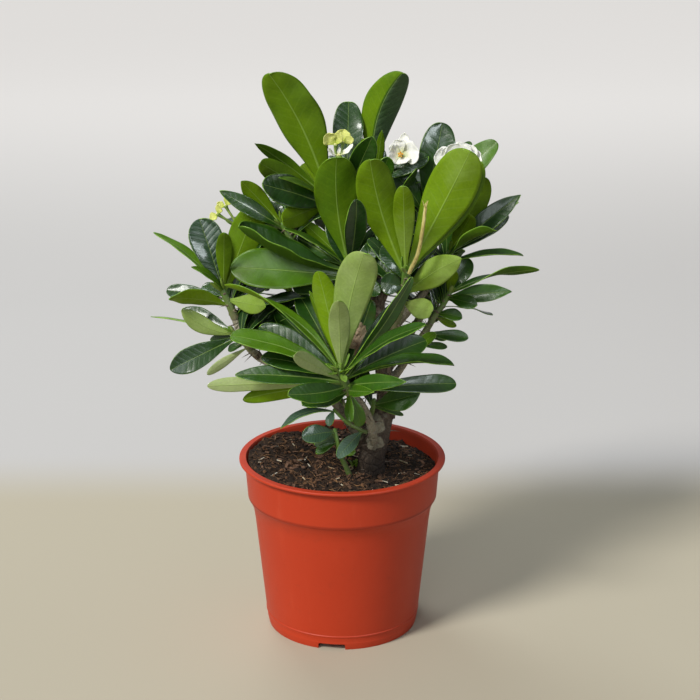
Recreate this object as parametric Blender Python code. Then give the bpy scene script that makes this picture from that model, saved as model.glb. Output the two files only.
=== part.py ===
"""Potted crown of thorns: a branching thorny shrub in a round plastic pot.

Metres, +Z up. The origin is on the floor at the pot's axis and the front faces -Y.
"""

import math
import random
from collections import namedtuple

import bmesh
import bpy
from mathutils import Matrix, Quaternion, Vector, noise
from mathutils.bvhtree import BVHTree

# Driving dimensions, in millimetres
MM = 0.001
RIM_RADIUS = 65.0
POT_HEIGHT = 112.4
LIP_HEIGHT = 2.4
BAND_TOP_RADIUS = 61.5
BAND_FOOT = (59.8, 87.6)
SHOULDER = (56.0, 79.2)
FOOT_RADIUS = 47.5
FOOT_RING_HEIGHT = 5.5
POT_WALL = 1.6
POT_SIDES = 32
BASE_PLATE = 2.0
DRAIN_RADIUS = 4.0
DRAIN_CIRCLE = 30.0
DRAIN_COUNT = 6
NOTCH_WIDTH = 17.0
NOTCH_HEIGHT = 4.0
NOTCH_COUNT = 3
NOTCH_START = math.radians(-98.0)
SOIL_LEVEL = 107.4
SOIL_LUMP = 1.7
SOIL_SIDES = 24
SOIL_CLEARANCE = 0.7
GAP = 0.3
NECK = 2.0
TRUNK_SIDES = 8
STEM_SIDES = 6
LEAF_THICKNESS = 0.9
BRACT_THICKNESS = 0.7
WIDE_LEAF = 12.5
BROAD_LEAF = 18.0
SLIM_LEAF = 10.7
SPINE_LENGTH = (5.0, 8.5)
SPINE_RADIUS = 0.75
SPINE_SPACING = 12.0
FILL_LENGTH = 46.0
FILL_RISE = 60.0
FILL_WIDTH = (0.32, 0.4)
GOLDEN_ANGLE = 2.4
SEED = 7

# The plant is laid out as it is seen from the front. A place is given by how far it looks to be
# across and up on the upright plane through the pot's axis, and by how far it stands toward the eye.
EYE = Vector((4.9, -1092.5, 541.2))

# A leaf: where its tip is, how far down the stem from the shoot's end it grows, its width, and its
# turn about its own length in degrees, 0 with the upper side to the eye and 180 with the underside.
# bow lifts its middle out of the upper side, sweep moves it sideways, fold closes its halves,
# twist turns the tip further than the root, belly is the widest place and point the tip's shape.
Leaf = namedtuple(
    "Leaf",
    "across up toward down width turn bow sweep fold twist belly point",
    defaults=(3, 0, 12, 0, 0.68, 0.5),
)
Shoot = namedtuple("Shoot", "name stem girth leaves fill")
Branch = namedtuple("Branch", "route girth")
Spray = namedtuple("Spray", "name stem girth length rise count")

SHOOTS = [
    Shoot(
        "shoot_front",
        [(6, 152, 40), (2, 159, 45), (-1, 168, 49)],
        3.2,
        [
            Leaf(13.6, 244.4, 62, 1, 23.5, 175, 4, sweep=3, belly=0.75, point=0.38),
            Leaf(-2, 214, 70, 0, 13, 180, 3, belly=0.6),
            Leaf(43, 229, 34, 3, 10.5, 40, 4, belly=0.6),
            Leaf(52, 198, 66, 5, 14, -66, 5, belly=0.6),
            Leaf(69.5, 172, 58, 8, 17, -70, 6, fold=22),
            Leaf(71, 160, 22, 16, 12, -15, 3, belly=0.8, point=0.45),
            Leaf(40, 161, 78, 12, 10.5, -15, 3, belly=0.52, point=0.9),
            Leaf(19.9, 154.4, 84, 16, 7.5, -10, 3, sweep=0.8, belly=0.52, point=0.9),
            Leaf(-34, 152.5, 80, 12, 14, 20, 3, sweep=-3, belly=0.6),
            Leaf(-25, 145.8, 62, 17, 14, 45, 1, sweep=-3),
            Leaf(-62, 149.2, 32, 14, 11, 170, 2, sweep=-2.5),
            Leaf(-66.5, 165.5, 48, 9, 13, 25, 4, belly=0.6, point=0.7),
            Leaf(-84, 158.4, 38, 10, 9.5, 165, 3, belly=0.8),
            Leaf(-50, 177, 34, 6, 15, 35, 4),
            Leaf(-69, 191, 48, 5, 15, 40, 7, belly=0.8, point=0.42),
            Leaf(-29.5, 179, 76, 8, 9.5, 180, 2, belly=0.75),
            Leaf(-51, 197, 24, 3, 16, 20, 4),
            Leaf(-72, 224, 42, 2, 14, 5, 6, sweep=8, twist=115),
            Leaf(-14.7, 232.6, 36, 1, 15, 165, 3, point=0.42),
            Leaf(-20, 220, 30, 3, 6, 150, 2, belly=0.6),
            Leaf(52, 188, 30, 6, 18, -25, 3),
            Leaf(11.9, 131.7, 38, 17, 9, -8, 2),
            Leaf(5.6, 134.5, 34, 18, 6.5, 30, 1),
            Leaf(34, 212, 8, 9, 11, -12, 2, point=0.42),
            Leaf(18, 214, 22, 8, 12, 5, 2, point=0.42),
            Leaf(-26, 217, 4, 8, 16, 12, 4, point=0.42),
            Leaf(-40, 207, 2, 9, 15, 16, 4, point=0.42),
            Leaf(-12, 202, 6, 10, 14, 8, 3, point=0.42),
        ],
        0,
    ),
    Shoot(
        "shoot_left",
        [(-66, 203, 8), (-69, 211, 9), (-73, 220, 10)],
        2.8,
        [
            Leaf(-86.5, 265.5, 2, 1, 21, 4, 3, belly=0.75, point=0.45),
            Leaf(-71.5, 257, 18, 1, 10, 180, 2),
            Leaf(-114.5, 257, 4, 3, 11, 62, 4, fold=15, belly=0.6, point=0.9),
            Leaf(-92, 235.5, 16, 2, 8, 62, 3, belly=0.6, point=0.9),
            Leaf(-107.4, 220.6, -4, 6, 11, 25, 0, belly=0.7, point=0.42),
            Leaf(-106.4, 215, 32, 11, 14, 135, 3, fold=15, belly=0.55, point=0.8),
            Leaf(-85.7, 222.8, -6, 4, 10, 28, 1),
            Leaf(-47, 210, 30, 6, 12, 180, 2, belly=0.55, point=0.8),
            Leaf(-55, 203, -4, 13, 10, 15, 2),
            Leaf(-52, 273, -4, 1, 21, 178, 3, point=0.45),
        ],
        1,
    ),
    Shoot(
        "shoot_lower_left",
        [(-57, 182.5, 14), (-59, 185, 15.6), (-61.5, 188.5, 17), (-66, 193, 18)],
        2.2,
        [
            Leaf(-98.8, 207.8, 22, 1, 11, 172, 1, sweep=3.5, point=0.8),
            Leaf(-98.4, 208.2, 8, 1, 12, 15, 1, point=0.7),
            Leaf(-117.9, 203.6, 0, 3, 5.5, 78, 1.5, belly=0.6, point=0.9),
            Leaf(-106.8, 168.9, 34, 3, 15.5, 3, 3, belly=0.72, point=0.6),
            Leaf(-81.5, 189, 2, 4, 5, 20, 1),
            Leaf(-70.6, 182, 12, 10, 5.5, 30, 1),
            Leaf(-84, 166, 16, 13, 6, 165, 2),
        ],
        1,
    ),
    Shoot(
        "shoot_right",
        [(43, 181, -3), (52, 195, -2), (57, 204, -2), (62, 211, -2), (66, 219, -1)],
        2.3,
        [
            Leaf(83, 210.9, 12, 4, 9, -15, 2),
            Leaf(104, 219.8, 10, 3, 11.5, -10, 2, belly=0.55, point=0.9),
            Leaf(120.6, 233.5, -8, 1, 13, -32, 7, twist=-120, belly=0.5, point=0.9),
            Leaf(68, 233, 8, 2, 8, 180, 2),
            Leaf(77.5, 240.6, -10, 1, 13, -5, 2),
            Leaf(74, 203, 4, 16, 8.5, -25, 2),
            Leaf(70.5, 197.5, -10, 18, 5, 170, 1),
            Leaf(78, 190, 3, 32, 8, -20, 2, belly=0.76),
            Leaf(65, 190, -8, 32, 6.5, -20, 1),
            Leaf(65, 184, -10, 40, 5, -20, 1),
            Leaf(60, 208, -24, 26, 12, -10, 2, point=0.42),
            Leaf(58, 193, 6, 44, 7, -10, 1),
        ],
        1,
    ),
    Shoot(
        "shoot_right_upper",
        [(54, 224, -8), (61, 235, -7), (66, 245, -6)],
        2.5,
        [
            Leaf(78.1, 267.8, 10, 2, 12.5, 180, 2),
            Leaf(108, 280.5, -8, 1, 14, -15, 3, belly=0.58, point=0.9),
            Leaf(107, 276, -18, 2, 6, -60, 2, belly=0.58, point=0.9),
            Leaf(100.5, 268, -26, 3, 12, -20, 2),
            Leaf(91.9, 258.8, 14, 4, 17, -38, 3, fold=20, twist=-100),
            Leaf(92, 268.5, -12, 3, 10, -60, 3, belly=0.6, point=0.8),
            Leaf(110.5, 242.5, -10, 9, 9, -62, 8, sweep=9, fold=25, belly=0.6),
            Leaf(87, 291, -12, 1, 16, 176, 3),
        ],
        1,
    ),
    Shoot(
        "shoot_centre",
        [(32, 196, 5), (37, 214, 14), (39, 232, 25)],
        3.0,
        [
            Leaf(17, 302, 40, 2, 24, 176, 4, sweep=3, point=0.42),
            Leaf(37, 286, 46, 1, 13, 180, 3, point=0.45),
            Leaf(77, 307.5, 36, 1, 30, 184, 4, sweep=-1, belly=0.72, point=0.4),
            Leaf(83.5, 301, 16, 2, 22, 168, 3),
            Leaf(72.7, 240.6, 38, 19, 17.5, 172, 3, sweep=2.2, belly=0.5, point=0.8),
            Leaf(55.5, 207, 34, 25, 13, 176, 2, belly=0.52),
            Leaf(20, 270, -2, 8, 12, 10, 2, point=0.42),
            Leaf(31, 262, -6, 11, 12, -8, 2, point=0.42),
            Leaf(13, 246, 0, 16, 11, 15, 2),
            Leaf(25, 238, -4, 22, 10, 5, 2),
            Leaf(56, 262, 0, 9, 11, -15, 2, point=0.42),
            Leaf(26, 250, 8, 7, 14, 5, 3, point=0.42),
            Leaf(24, 226, -14, 12, 14, 0, 2, point=0.42),
            Leaf(58, 232, -6, 16, 12, -10, 2, point=0.42),
        ],
        1,
    ),
    Shoot(
        "shoot_centre_left",
        [(10, 212, 2), (6, 225, 7), (4, 238, 12)],
        2.9,
        [
            Leaf(-3, 303.5, 22, 1, 27, 180, 4, sweep=3, point=0.42),
            Leaf(9, 277.5, 40, 2, 14, 20, 3),
            Leaf(-35, 259.5, 26, 4, 12, 78, 2, belly=0.6, point=0.8),
            Leaf(-62.8, 260.6, 24, 6, 30, 70, -7, fold=38, belly=0.62, point=0.5),
            Leaf(-52, 267, 0, 3, 24, 10, 3, point=0.45),
            Leaf(-68, 235, 2, 11, 26, 15, 4),
            Leaf(-24, 264, 2, 3, 9, 160, 2),
            Leaf(23, 218, 22, 12, 11, -20, 2, point=0.42),
            Leaf(-11, 208, 22, 16, 11, 20, 2, point=0.42),
            Leaf(-30, 222, 10, 13, 12, 12, 3, point=0.42),
            Leaf(24, 252, 2, 9, 11, -15, 2, point=0.42),
            Leaf(-6, 268, -10, 8, 15, 5, 3, point=0.42),
            Leaf(-24, 246, -6, 10, 15, 8, 3, point=0.42),
        ],
        1,
    ),
    Shoot(
        "shoot_left_upper",
        [(-22, 236, 0), (-29, 249, 2), (-36, 262, 3)],
        2.4,
        [
            Leaf(-60.5, 289, 10, 1, 11.5, 172, 2, point=0.8),
            Leaf(-73.7, 283, -12, 3, 10.5, 12, 2, belly=0.58, point=0.8),
            Leaf(-75, 242.5, 24, 14, 13, 176, 2, sweep=3, belly=0.6),
            Leaf(-44, 276, -8, 4, 12, 12, 2, point=0.42),
            Leaf(-28, 282, -14, 6, 11, 8, 2, point=0.42),
            Leaf(-50, 234, -8, 14, 14, 10, 2, point=0.42),
        ],
        1,
    ),
    Shoot(
        "shoot_upper_left",
        [(-3, 262, -14), (-6.5, 272, -12), (-9, 281, -10)],
        2.9,
        [
            Leaf(-43, 354, 2, 1, 30, 165, 4, sweep=-3, fold=20, belly=0.6, point=0.42),
            Leaf(-44, 341, -24, 1, 13, 15, 3, sweep=6),
            Leaf(-52, 312, 6, 3, 9.5, 150, 8, sweep=3, belly=0.58, point=0.9),
            Leaf(-49, 300, 14, 5, 14, 184, 3, point=0.4),
            Leaf(-48, 287, 20, 9, 20, 20, 3, point=0.42),
            Leaf(-38, 291, 24, 6, 8, 70, 2, fold=25, belly=0.6, point=0.9),
            Leaf(-24, 299, 10, 4, 17, 184, 2, point=0.42),
            Leaf(-36, 264, 26, 6, 15, 170, 2, belly=0.62),
        ],
        1,
    ),
    Shoot(
        "shoot_top_middle",
        [(5, 262, -18), (3.5, 273, -12), (2, 284, -8)],
        2.7,
        [
            Leaf(4, 337, -28, 1, 19, 4, 3, point=0.38),
            Leaf(11, 326, 0, 1, 9, 176, 2, belly=0.58, point=0.9),
            Leaf(9.5, 308.5, 6, 3, 7, 176, 2, belly=0.58, point=0.9),
            Leaf(18, 316, -14, 2, 15, 10, 3),
        ],
        1,
    ),
    Shoot(
        "shoot_top_right",
        [(22, 262, -20), (22, 276, -20), (20, 290, -19)],
        2.9,
        [
            Leaf(36, 354.5, -10, 1, 28, 180, 4, sweep=8, fold=38, belly=0.66),
            Leaf(13.5, 315, -4, 2, 9, 170, 2),
            Leaf(24, 320, -8, 1, 6, 176, 2, belly=0.58, point=0.9),
            Leaf(28, 304, -6, 4, 12, 10, 2),
            Leaf(52, 304, -8, 3, 14, -30, 3),
            Leaf(45, 297, -4, 22, 7, 60, 2),
        ],
        1,
    ),
    Shoot(
        "shoot_right_top",
        [(42, 250, -24), (48, 261, -24), (50, 272, -23)],
        2.7,
        [
            Leaf(60, 324.5, -28, 1, 22, 4, 3, point=0.42),
            Leaf(92.5, 313, -24, 2, 17, -20, 2, point=0.42),
            Leaf(29, 296, -12, 3, 17, 30, 3),
            Leaf(77, 313, -34, 2, 11, -10, 2),
            Leaf(88, 272.8, -16, 12, 12, -35, 5),
        ],
        1,
    ),
    Shoot(
        "shoot_low_right",
        [(17, 138, 16), (19, 143, 20), (20, 149, 23)],
        1.9,
        [
            Leaf(48.5, 153.5, 40, 4, 16, -12, 2, sweep=0.8, point=0.8),
            Leaf(38.3, 139, 14, 6, 4, -30, 1),
        ],
        1,
    ),
]

# Young shoots low on the plant: one on the front branch and one that rises out of the soil
SPROUTS = [
    Shoot(
        "sprout_on_branch",
        [(15, 127.5, 25), (10, 130, 29), (3, 134, 31), (-5, 142.5, 31)],
        1.4,
        [
            Leaf(-39, 129.8, 36, 2, 8, 55, 6, belly=0.6, point=0.8),
            Leaf(-8.3, 131.7, 38, 0, 6, 30, 1),
            Leaf(-3, 110.3, 44, 24, 9.5, 10, 2, belly=0.6),
        ],
        0,
    ),
    Shoot(
        "sprout_in_soil",
        [
            (5.5, 88, 21),
            (5.2, 96.3, 23),
            (1.9, 105.2, 26),
            (-0.8, 110.9, 28),
            (-2.5, 117.8, 30),
            (-4.5, 129, 29),
        ],
        1.9,
        [
            Leaf(-25.1, 124.1, 42, 1, 12, 15, 2, point=0.45),
            Leaf(-17.2, 119, 28, 4, 13, 170, 2, belly=0.6),
            Leaf(-16.6, 113.5, 34, 8, 6, 20, 2),
            Leaf(8.5, 114.5, 30, 15, 4.5, 20, 1),
        ],
        0,
    ),
]

# The shoots on the far side, whose leaves follow the rule of the spiral all the way round
SPRAYS = [
    Spray("shoot_back_left", [(-22, 206, -40), (-30, 216, -46), (-36, 228, -50)], 2.8, 53, 70, 10),
    Spray("shoot_back_top", [(10, 226, -40), (6, 240, -48), (3, 254, -52)], 2.8, 51, 74, 9),
    Spray("shoot_back_right", [(44, 196, -38), (50, 207, -44), (54, 220, -48)], 2.8, 52, 70, 10),
    Spray("shoot_back_low", [(2, 142, -30), (-2, 150, -38), (-5, 160, -44)], 2.8, 48, 66, 8),
]

# Each branch runs from inside its parent to just short of the shoot that it carries
TRUNK = Branch([(18, 76, 14), (18, 98, 14), (19, 112, 14), (23, 128, 10), (26, 142, 5)], (9.4, 6.5))
BRANCHES = [
    Branch([(18, 114, 16), (19.5, 124, 23), (17, 136, 29), (11, 147, 36), (6, 152, 40)], (3.0, 2.7)),
    Branch([(26, 138, 6), (27, 154, 3), (25, 172, -1), (23, 192, -6), (22, 214, -11)], (6.0, 3.6)),
    Branch([(22, 208, -10), (21, 226, -14), (21, 245, -18), (22, 262, -20)], (3.6, 2.9)),
    Branch([(22, 212, -10), (31, 230, -17), (42, 250, -24)], (3.2, 2.7)),
    Branch([(23, 186, -4), (38, 204, -8), (54, 224, -8)], (3.0, 2.5)),
    Branch([(25, 168, 0), (30, 182, 2), (32, 196, 5)], (3.4, 3.0)),
    Branch([(24, 178, -2), (16, 196, 0), (10, 212, 2)], (3.4, 2.9)),
    Branch([(21, 222, -13), (9, 242, -16), (-3, 262, -14)], (3.1, 2.8)),
    Branch([(21, 236, -16), (14, 249, -19), (5, 262, -18)], (3.0, 2.7)),
    Branch([(22, 198, -7), (5, 214, -7), (-10, 226, -4), (-22, 236, 0)], (3.0, 2.4)),
    Branch([(26, 156, 2), (35, 168, -3), (43, 181, -3)], (3.0, 2.3)),
    Branch([(21, 126, 12), (19, 133, 15), (17, 138, 16)], (2.4, 2.0)),
    Branch(
        [(15, 118, 12), (7, 130, 12), (0, 141, 12), (-12, 156, 12), (-28, 166, 10), (-42, 172, 8)],
        (3.2, 2.4),
    ),
    Branch([(-38, 170, 8), (-50, 176, 8), (-58, 184, 8), (-63, 194, 8), (-66, 203, 8)], (2.4, 2.5)),
    Branch([(-52, 178, 8), (-57, 182.5, 14)], (2.3, 2.2)),
    Branch([(23, 184, -4), (6, 192, -22), (-10, 199, -33), (-22, 206, -40)], (3.2, 2.6)),
    Branch([(22, 204, -9), (17, 213, -26), (10, 226, -40)], (3.2, 2.6)),
    Branch([(25, 166, 0), (34, 178, -20), (44, 196, -38)], (3.2, 2.6)),
    Branch([(21, 122, 10), (12, 132, -12), (2, 142, -30)], (3.4, 2.6)),
]

# Green stalks that grow from a shoot and carry blooms
Stalk = namedtuple("Stalk", "owner route girth")
STALKS = [
    Stalk("shoot_top_middle", [(2, 282, -8.5), (0.5, 292, -5), (-1.9, 302.4, -1.6)], (1.3, 1.0)),
    Stalk(
        "shoot_left_upper",
        [(-35, 260, 2), (-45, 261, -4), (-55, 261, -8), (-64, 262, -8)],
        (1.2, 1.0),
    ),
    Stalk("shoot_top_right", [(20.5, 288, -19), (27, 297, -16), (33, 301, -14)], (1.3, 1.0)),
    Stalk("shoot_right_top", [(50, 270, -23), (60, 286, -12), (69, 297, -3)], (1.3, 1.0)),
    Stalk("shoot_front", [(-1, 166, 48), (4, 172, 44), (7.6, 177.8, 40)], (1.3, 1.0)),
    Stalk("shoot_back_left", [(-36, 226, -50), (-42, 242, -56), (-44, 256, -58)], (1.3, 1.0)),
    Stalk("shoot_back_right", [(54, 218, -48), (58, 235, -54), (60, 248, -56)], (1.3, 1.0)),
]

# A bloom: its own short stalk up to the cup, and each bract by where its tip is and its width
Bract = namedtuple("Bract", "across up toward width belly point", defaults=(0.58, 0.5))
Bloom = namedtuple("Bloom", "name stem girth bracts facing colour")
BLOOMS = [
    Bloom(
        "bloom_young_left",
        [(-3.0, 303, -2.2), (-4, 308.5, -2.5), (-3.7, 311, -2)],
        0.95,
        [Bract(-9.8, 317.2, 0, 9), Bract(-1.2, 318.5, 1, 6.5)],
        (-0.4, -1.0, 0.4),
        "young_bract",
    ),
    Bloom(
        "bloom_young_right",
        [(-0.9, 303.2, -2.3), (0.3, 309, -5), (0.6, 312.4, -5.5)],
        0.95,
        [Bract(1.2, 320.4, -10, 8.5), Bract(6.4, 315.4, -4, 6)],
        (0.3, -1.0, 0.4),
        "young_bract",
    ),
    Bloom(
        "fork_bracts",
        [(-2, 302.3, 0), (-2, 304.4, 0.8)],
        1.2,
        [Bract(-8.6, 308.8, 3, 3.4), Bract(-1.3, 309.6, 1.4, 2.6), Bract(6.9, 311.4, 2, 3.8)],
        (0.0, -0.6, 1.0),
        "bract",
    ),
    Bloom(
        "bloom_open",
        [(33.4, 301.4, -13.6), (35.5, 305, -12.5)],
        1.1,
        [
            Bract(28.2, 306.4, -10, 13, 0.6, 0.42),
            Bract(46.2, 307.6, -10, 15, 0.55, 0.6),
            Bract(37.9, 319.1, -15, 8, 0.45, 0.9),
        ],
        (-0.2, -1.0, 0.35),
        "bract",
    ),
    Bloom(
        "bloom_behind_leaf",
        [(69.3, 297.4, -2.6), (70, 300, -1)],
        1.1,
        [Bract(55.5, 304.6, 0, 15), Bract(83, 305.5, -4, 15)],
        (0.0, -1.0, 0.5),
        "bract",
    ),
    Bloom(
        "bloom_side_lower",
        [(-64.7, 262, -7.4), (-71, 265.8, -5.6), (-75.2, 268.6, -5)],
        0.95,
        [Bract(-80, 266.3, -4, 5.5), Bract(-74.2, 274.2, -2.5, 6)],
        (-0.6, -1.0, 0.4),
        "young_bract",
    ),
    Bloom(
        "bloom_side_upper",
        [(-64.1, 263.4, -8.6), (-68, 269.5, -9.4), (-70.3, 273.6, -9.4)],
        0.95,
        [Bract(-67.6, 279.6, -8, 6.5), Bract(-75.8, 275, -10.5, 5)],
        (-0.2, -1.0, 0.5),
        "young_bract",
    ),
    Bloom(
        "bloom_back_left",
        [(-44, 256.6, -58.4), (-44, 258.6, -59)],
        1.1,
        [Bract(-54, 262, -66, 12), Bract(-36, 263, -66, 12)],
        (-0.2, 1.0, 0.8),
        "bract",
    ),
    Bloom(
        "bloom_back_right",
        [(60, 248.6, -56.4), (60, 250.6, -57)],
        1.1,
        [Bract(51, 255, -64, 12), Bract(69, 255, -64, 12)],
        (0.2, 1.0, 0.8),
        "bract",
    ),
    Bloom(
        "withered_bloom",
        [(7.9, 178.4, 39.4), (9.3, 183, 38)],
        0.9,
        [
            Bract(3.6, 187.6, 42, 5),
            Bract(16.8, 182.2, 40, 5, 0.45, 0.9),
            Bract(11.4, 199.4, 34, 9.5),
        ],
        (0.1, -1.0, 0.3),
        "withered",
    ),
]
OPEN_CENTRE = ((35.1, 305.3, -10), 1.5)

# A dead flower stalk with a frayed end, which leans in front of the big leaves
DRY_STALK = Branch([(41, 231.6, 26.2), (46, 243, 33), (48.6, 256.2, 37), (50.5, 272.4, 39)], (1.2, 1.2))
SPLINTER = (0.7, 0.35)
FRAYED_ENDS = [(48.4, 277.4, 39.5), (50.2, 275.6, 41), (52.2, 277.6, 39), (50.8, 276.4, 37)]

COLOURS = {
    "pot_plastic": ((0.56, 0.085, 0.028), 0.5),
    "soil": ((0.03, 0.018, 0.011), 0.95),
    "bark": ((0.16, 0.12, 0.085), 0.85),
    "leaf": ((0.05, 0.17, 0.012), 0.3),
    "bract": ((0.85, 0.84, 0.74), 0.5),
    "young_bract": ((0.75, 0.76, 0.25), 0.5),
    "withered": ((0.3, 0.2, 0.1), 0.8),
    "straw": ((0.5, 0.4, 0.15), 0.7),
    "nectar": ((0.85, 0.38, 0.03), 0.4),
}


def clear_scene():
    for item in list(bpy.data.objects):
        bpy.data.objects.remove(item, do_unlink=True)


def material(name):
    colour, roughness = COLOURS[name]
    made = bpy.data.materials.get(name) or bpy.data.materials.new(name)
    made.use_nodes = True
    shader = made.node_tree.nodes["Principled BSDF"]
    shader.inputs["Base Color"].default_value = (*colour, 1.0)
    shader.inputs["Roughness"].default_value = roughness
    return made


def add_object(name, mesh, colour):
    item = bpy.data.objects.new(name, mesh)
    bpy.context.scene.collection.objects.link(item)
    item.data.materials.clear()
    item.data.materials.append(material(colour))
    return item


def mesh_of(name, shape):
    """A mesh in metres from a bmesh in millimetres, which it frees."""
    bmesh.ops.recalc_face_normals(shape, faces=shape.faces[:])
    bmesh.ops.scale(shape, vec=(MM, MM, MM), verts=shape.verts[:])
    mesh = bpy.data.meshes.new(name)
    shape.to_mesh(mesh)
    shape.free()
    return mesh


def combine(item, others, operation, solver):
    """Applies one Boolean of the other objects to item and removes them."""
    group = bpy.data.collections.new(item.name + "_others")
    bpy.context.scene.collection.children.link(group)
    for other in others:
        bpy.context.scene.collection.objects.unlink(other)
        group.objects.link(other)
    change = item.modifiers.new("combine", "BOOLEAN")
    change.operation = operation
    change.solver = solver
    change.operand_type = "COLLECTION"
    change.collection = group
    bpy.context.view_layer.update()
    graph = bpy.context.evaluated_depsgraph_get()
    result = bpy.data.meshes.new_from_object(item.evaluated_get(graph))
    item.modifiers.clear()
    item.data = result
    for other in others:
        bpy.data.objects.remove(other, do_unlink=True)
    bpy.data.collections.remove(group)


def sighted(across, up, toward):
    """The place that looks to be (across, up) on the plane through the pot's axis from the eye."""
    on_plane = Vector((across, 0.0, up))
    return EYE + (on_plane - EYE) * (-toward - EYE.y) / (-EYE.y)


def smooth_route(points, steps):
    """A Catmull-Rom curve through the points, with this many steps between each two."""
    ends = [2 * points[0] - points[1], *points, 2 * points[-1] - points[-2]]
    route = []
    for before, start, end, after in zip(ends, ends[1:], ends[2:], ends[3:]):
        for step in range(steps):
            t = step / steps
            route.append(
                0.5
                * (
                    2 * start
                    + (end - before) * t
                    + (2 * before - 5 * start + 4 * end - after) * t * t
                    + (3 * start - before - 3 * end + after) * t**3
                )
            )
    return [*route, points[-1]]


def route_of(places, steps=2):
    return smooth_route([sighted(*place) for place in places], steps)


def branch_route(branch):
    """A branch's route, which turns at its end to meet its shoot squarely and a gap short of it."""
    route = route_of(branch.route)
    for shoot in [*SHOOTS, *SPRAYS]:
        if shoot.stem[0] == branch.route[-1]:
            start, after = route_of(shoot.stem)[:2]
            way = (after - start).normalized()
            return [*route[:-1], start - way * NECK, start - way * GAP]
    return route


def tube(name, route, radii, colour, sides=STEM_SIDES):
    """A round stem along the route, whose radius runs evenly from the first to the second value."""
    curve = bpy.data.curves.new(name, "CURVE")
    curve.dimensions = "3D"
    curve.bevel_depth = 1.0
    curve.bevel_resolution = sides // 2 - 2
    curve.use_fill_caps = True
    spline = curve.splines.new("POLY")
    spline.points.add(len(route) - 1)
    for index, (point, place) in enumerate(zip(spline.points, route)):
        share = index / (len(route) - 1)
        point.co = (*place, 1.0)
        point.radius = radii[0] + (radii[1] - radii[0]) * share
    guide = bpy.data.objects.new(name, curve)
    bpy.context.scene.collection.objects.link(guide)
    bpy.context.view_layer.update()
    graph = bpy.context.evaluated_depsgraph_get()
    shape = bmesh.new()
    shape.from_mesh(guide.evaluated_get(graph).to_mesh())
    bmesh.ops.remove_doubles(shape, verts=shape.verts[:], dist=0.001)
    bpy.data.objects.remove(guide, do_unlink=True)
    return add_object(name, mesh_of(name, shape), colour)


def surface_of(item):
    """The surface of an object in millimetres, for finding what crosses it."""
    shape = bmesh.new()
    shape.from_mesh(item.data)
    bmesh.ops.scale(shape, vec=(1 / MM, 1 / MM, 1 / MM), verts=shape.verts[:])
    tree = BVHTree.FromBMesh(shape)
    shape.free()
    return tree


def half_width(share, belly, point):
    """A leaf's half width from its narrow root at 0 to its tip at 1, as a share of the widest."""
    if share < belly:
        return 0.1 + 0.9 * math.sin(0.5 * math.pi * share / belly) ** 1.6
    return max(0.0, 1 - ((share - belly) / (1 - belly)) ** 2) ** point


def facing_eye(root, tip, turn):
    """The way that a leaf's upper side faces, turned about its length from looking at the eye."""
    along = (tip - root).normalized()
    sight = (EYE - (root + tip) / 2).normalized()
    square = (sight - along * sight.dot(along)).normalized()
    return Quaternion(along, math.radians(turn)) @ square


def blade_point(leaf, root, tip, normal, share, side):
    """The place on a blade, share of the way to its tip and side (-1 to 1) across it."""
    chord = tip - root
    along = chord.normalized()
    up = Quaternion(along, math.radians(leaf.twist) * share) @ normal
    arch = 4 * share * (1 - share)
    middle = root + chord * share + normal * leaf.bow * arch
    middle += along.cross(normal) * leaf.sweep * arch
    reach = 0.5 * leaf.width * half_width(share, leaf.belly, leaf.point)
    fold = math.radians(leaf.fold)
    spread = along.cross(up) * side * math.cos(fold) + up * abs(side) * math.sin(fold)
    return middle + spread * reach


def blade(leaf, root, tip, normal, thickness, start=0.0):
    """A closed blade in millimetres: a grid shaped as the leaf, split in triangles and thickened."""
    shape = bmesh.new()
    rows = 5 if leaf.width > BROAD_LEAF and leaf.fold else 4
    rows = 3 if leaf.fold and leaf.width < SLIM_LEAF else rows
    columns = 2 if leaf.width > WIDE_LEAF and leaf.fold else 1
    bmesh.ops.create_grid(shape, x_segments=columns, y_segments=rows, size=1.0)
    for corner in shape.verts:
        share = 1 - (1 - (corner.co.y + 1) / 2) ** 1.6
        share = start + (1 - start) * share
        corner.co = blade_point(leaf, root, tip, normal, share, corner.co.x)
    bmesh.ops.remove_doubles(shape, verts=shape.verts[:], dist=0.001)
    bmesh.ops.triangulate(shape, faces=shape.faces[:])
    shape.normal_update()
    for corner in shape.verts:
        corner.co += corner.normal * thickness / 2
    bmesh.ops.solidify(shape, geom=shape.faces[:], thickness=thickness)
    bmesh.ops.recalc_face_normals(shape, faces=shape.faces[:])
    return shape


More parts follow.
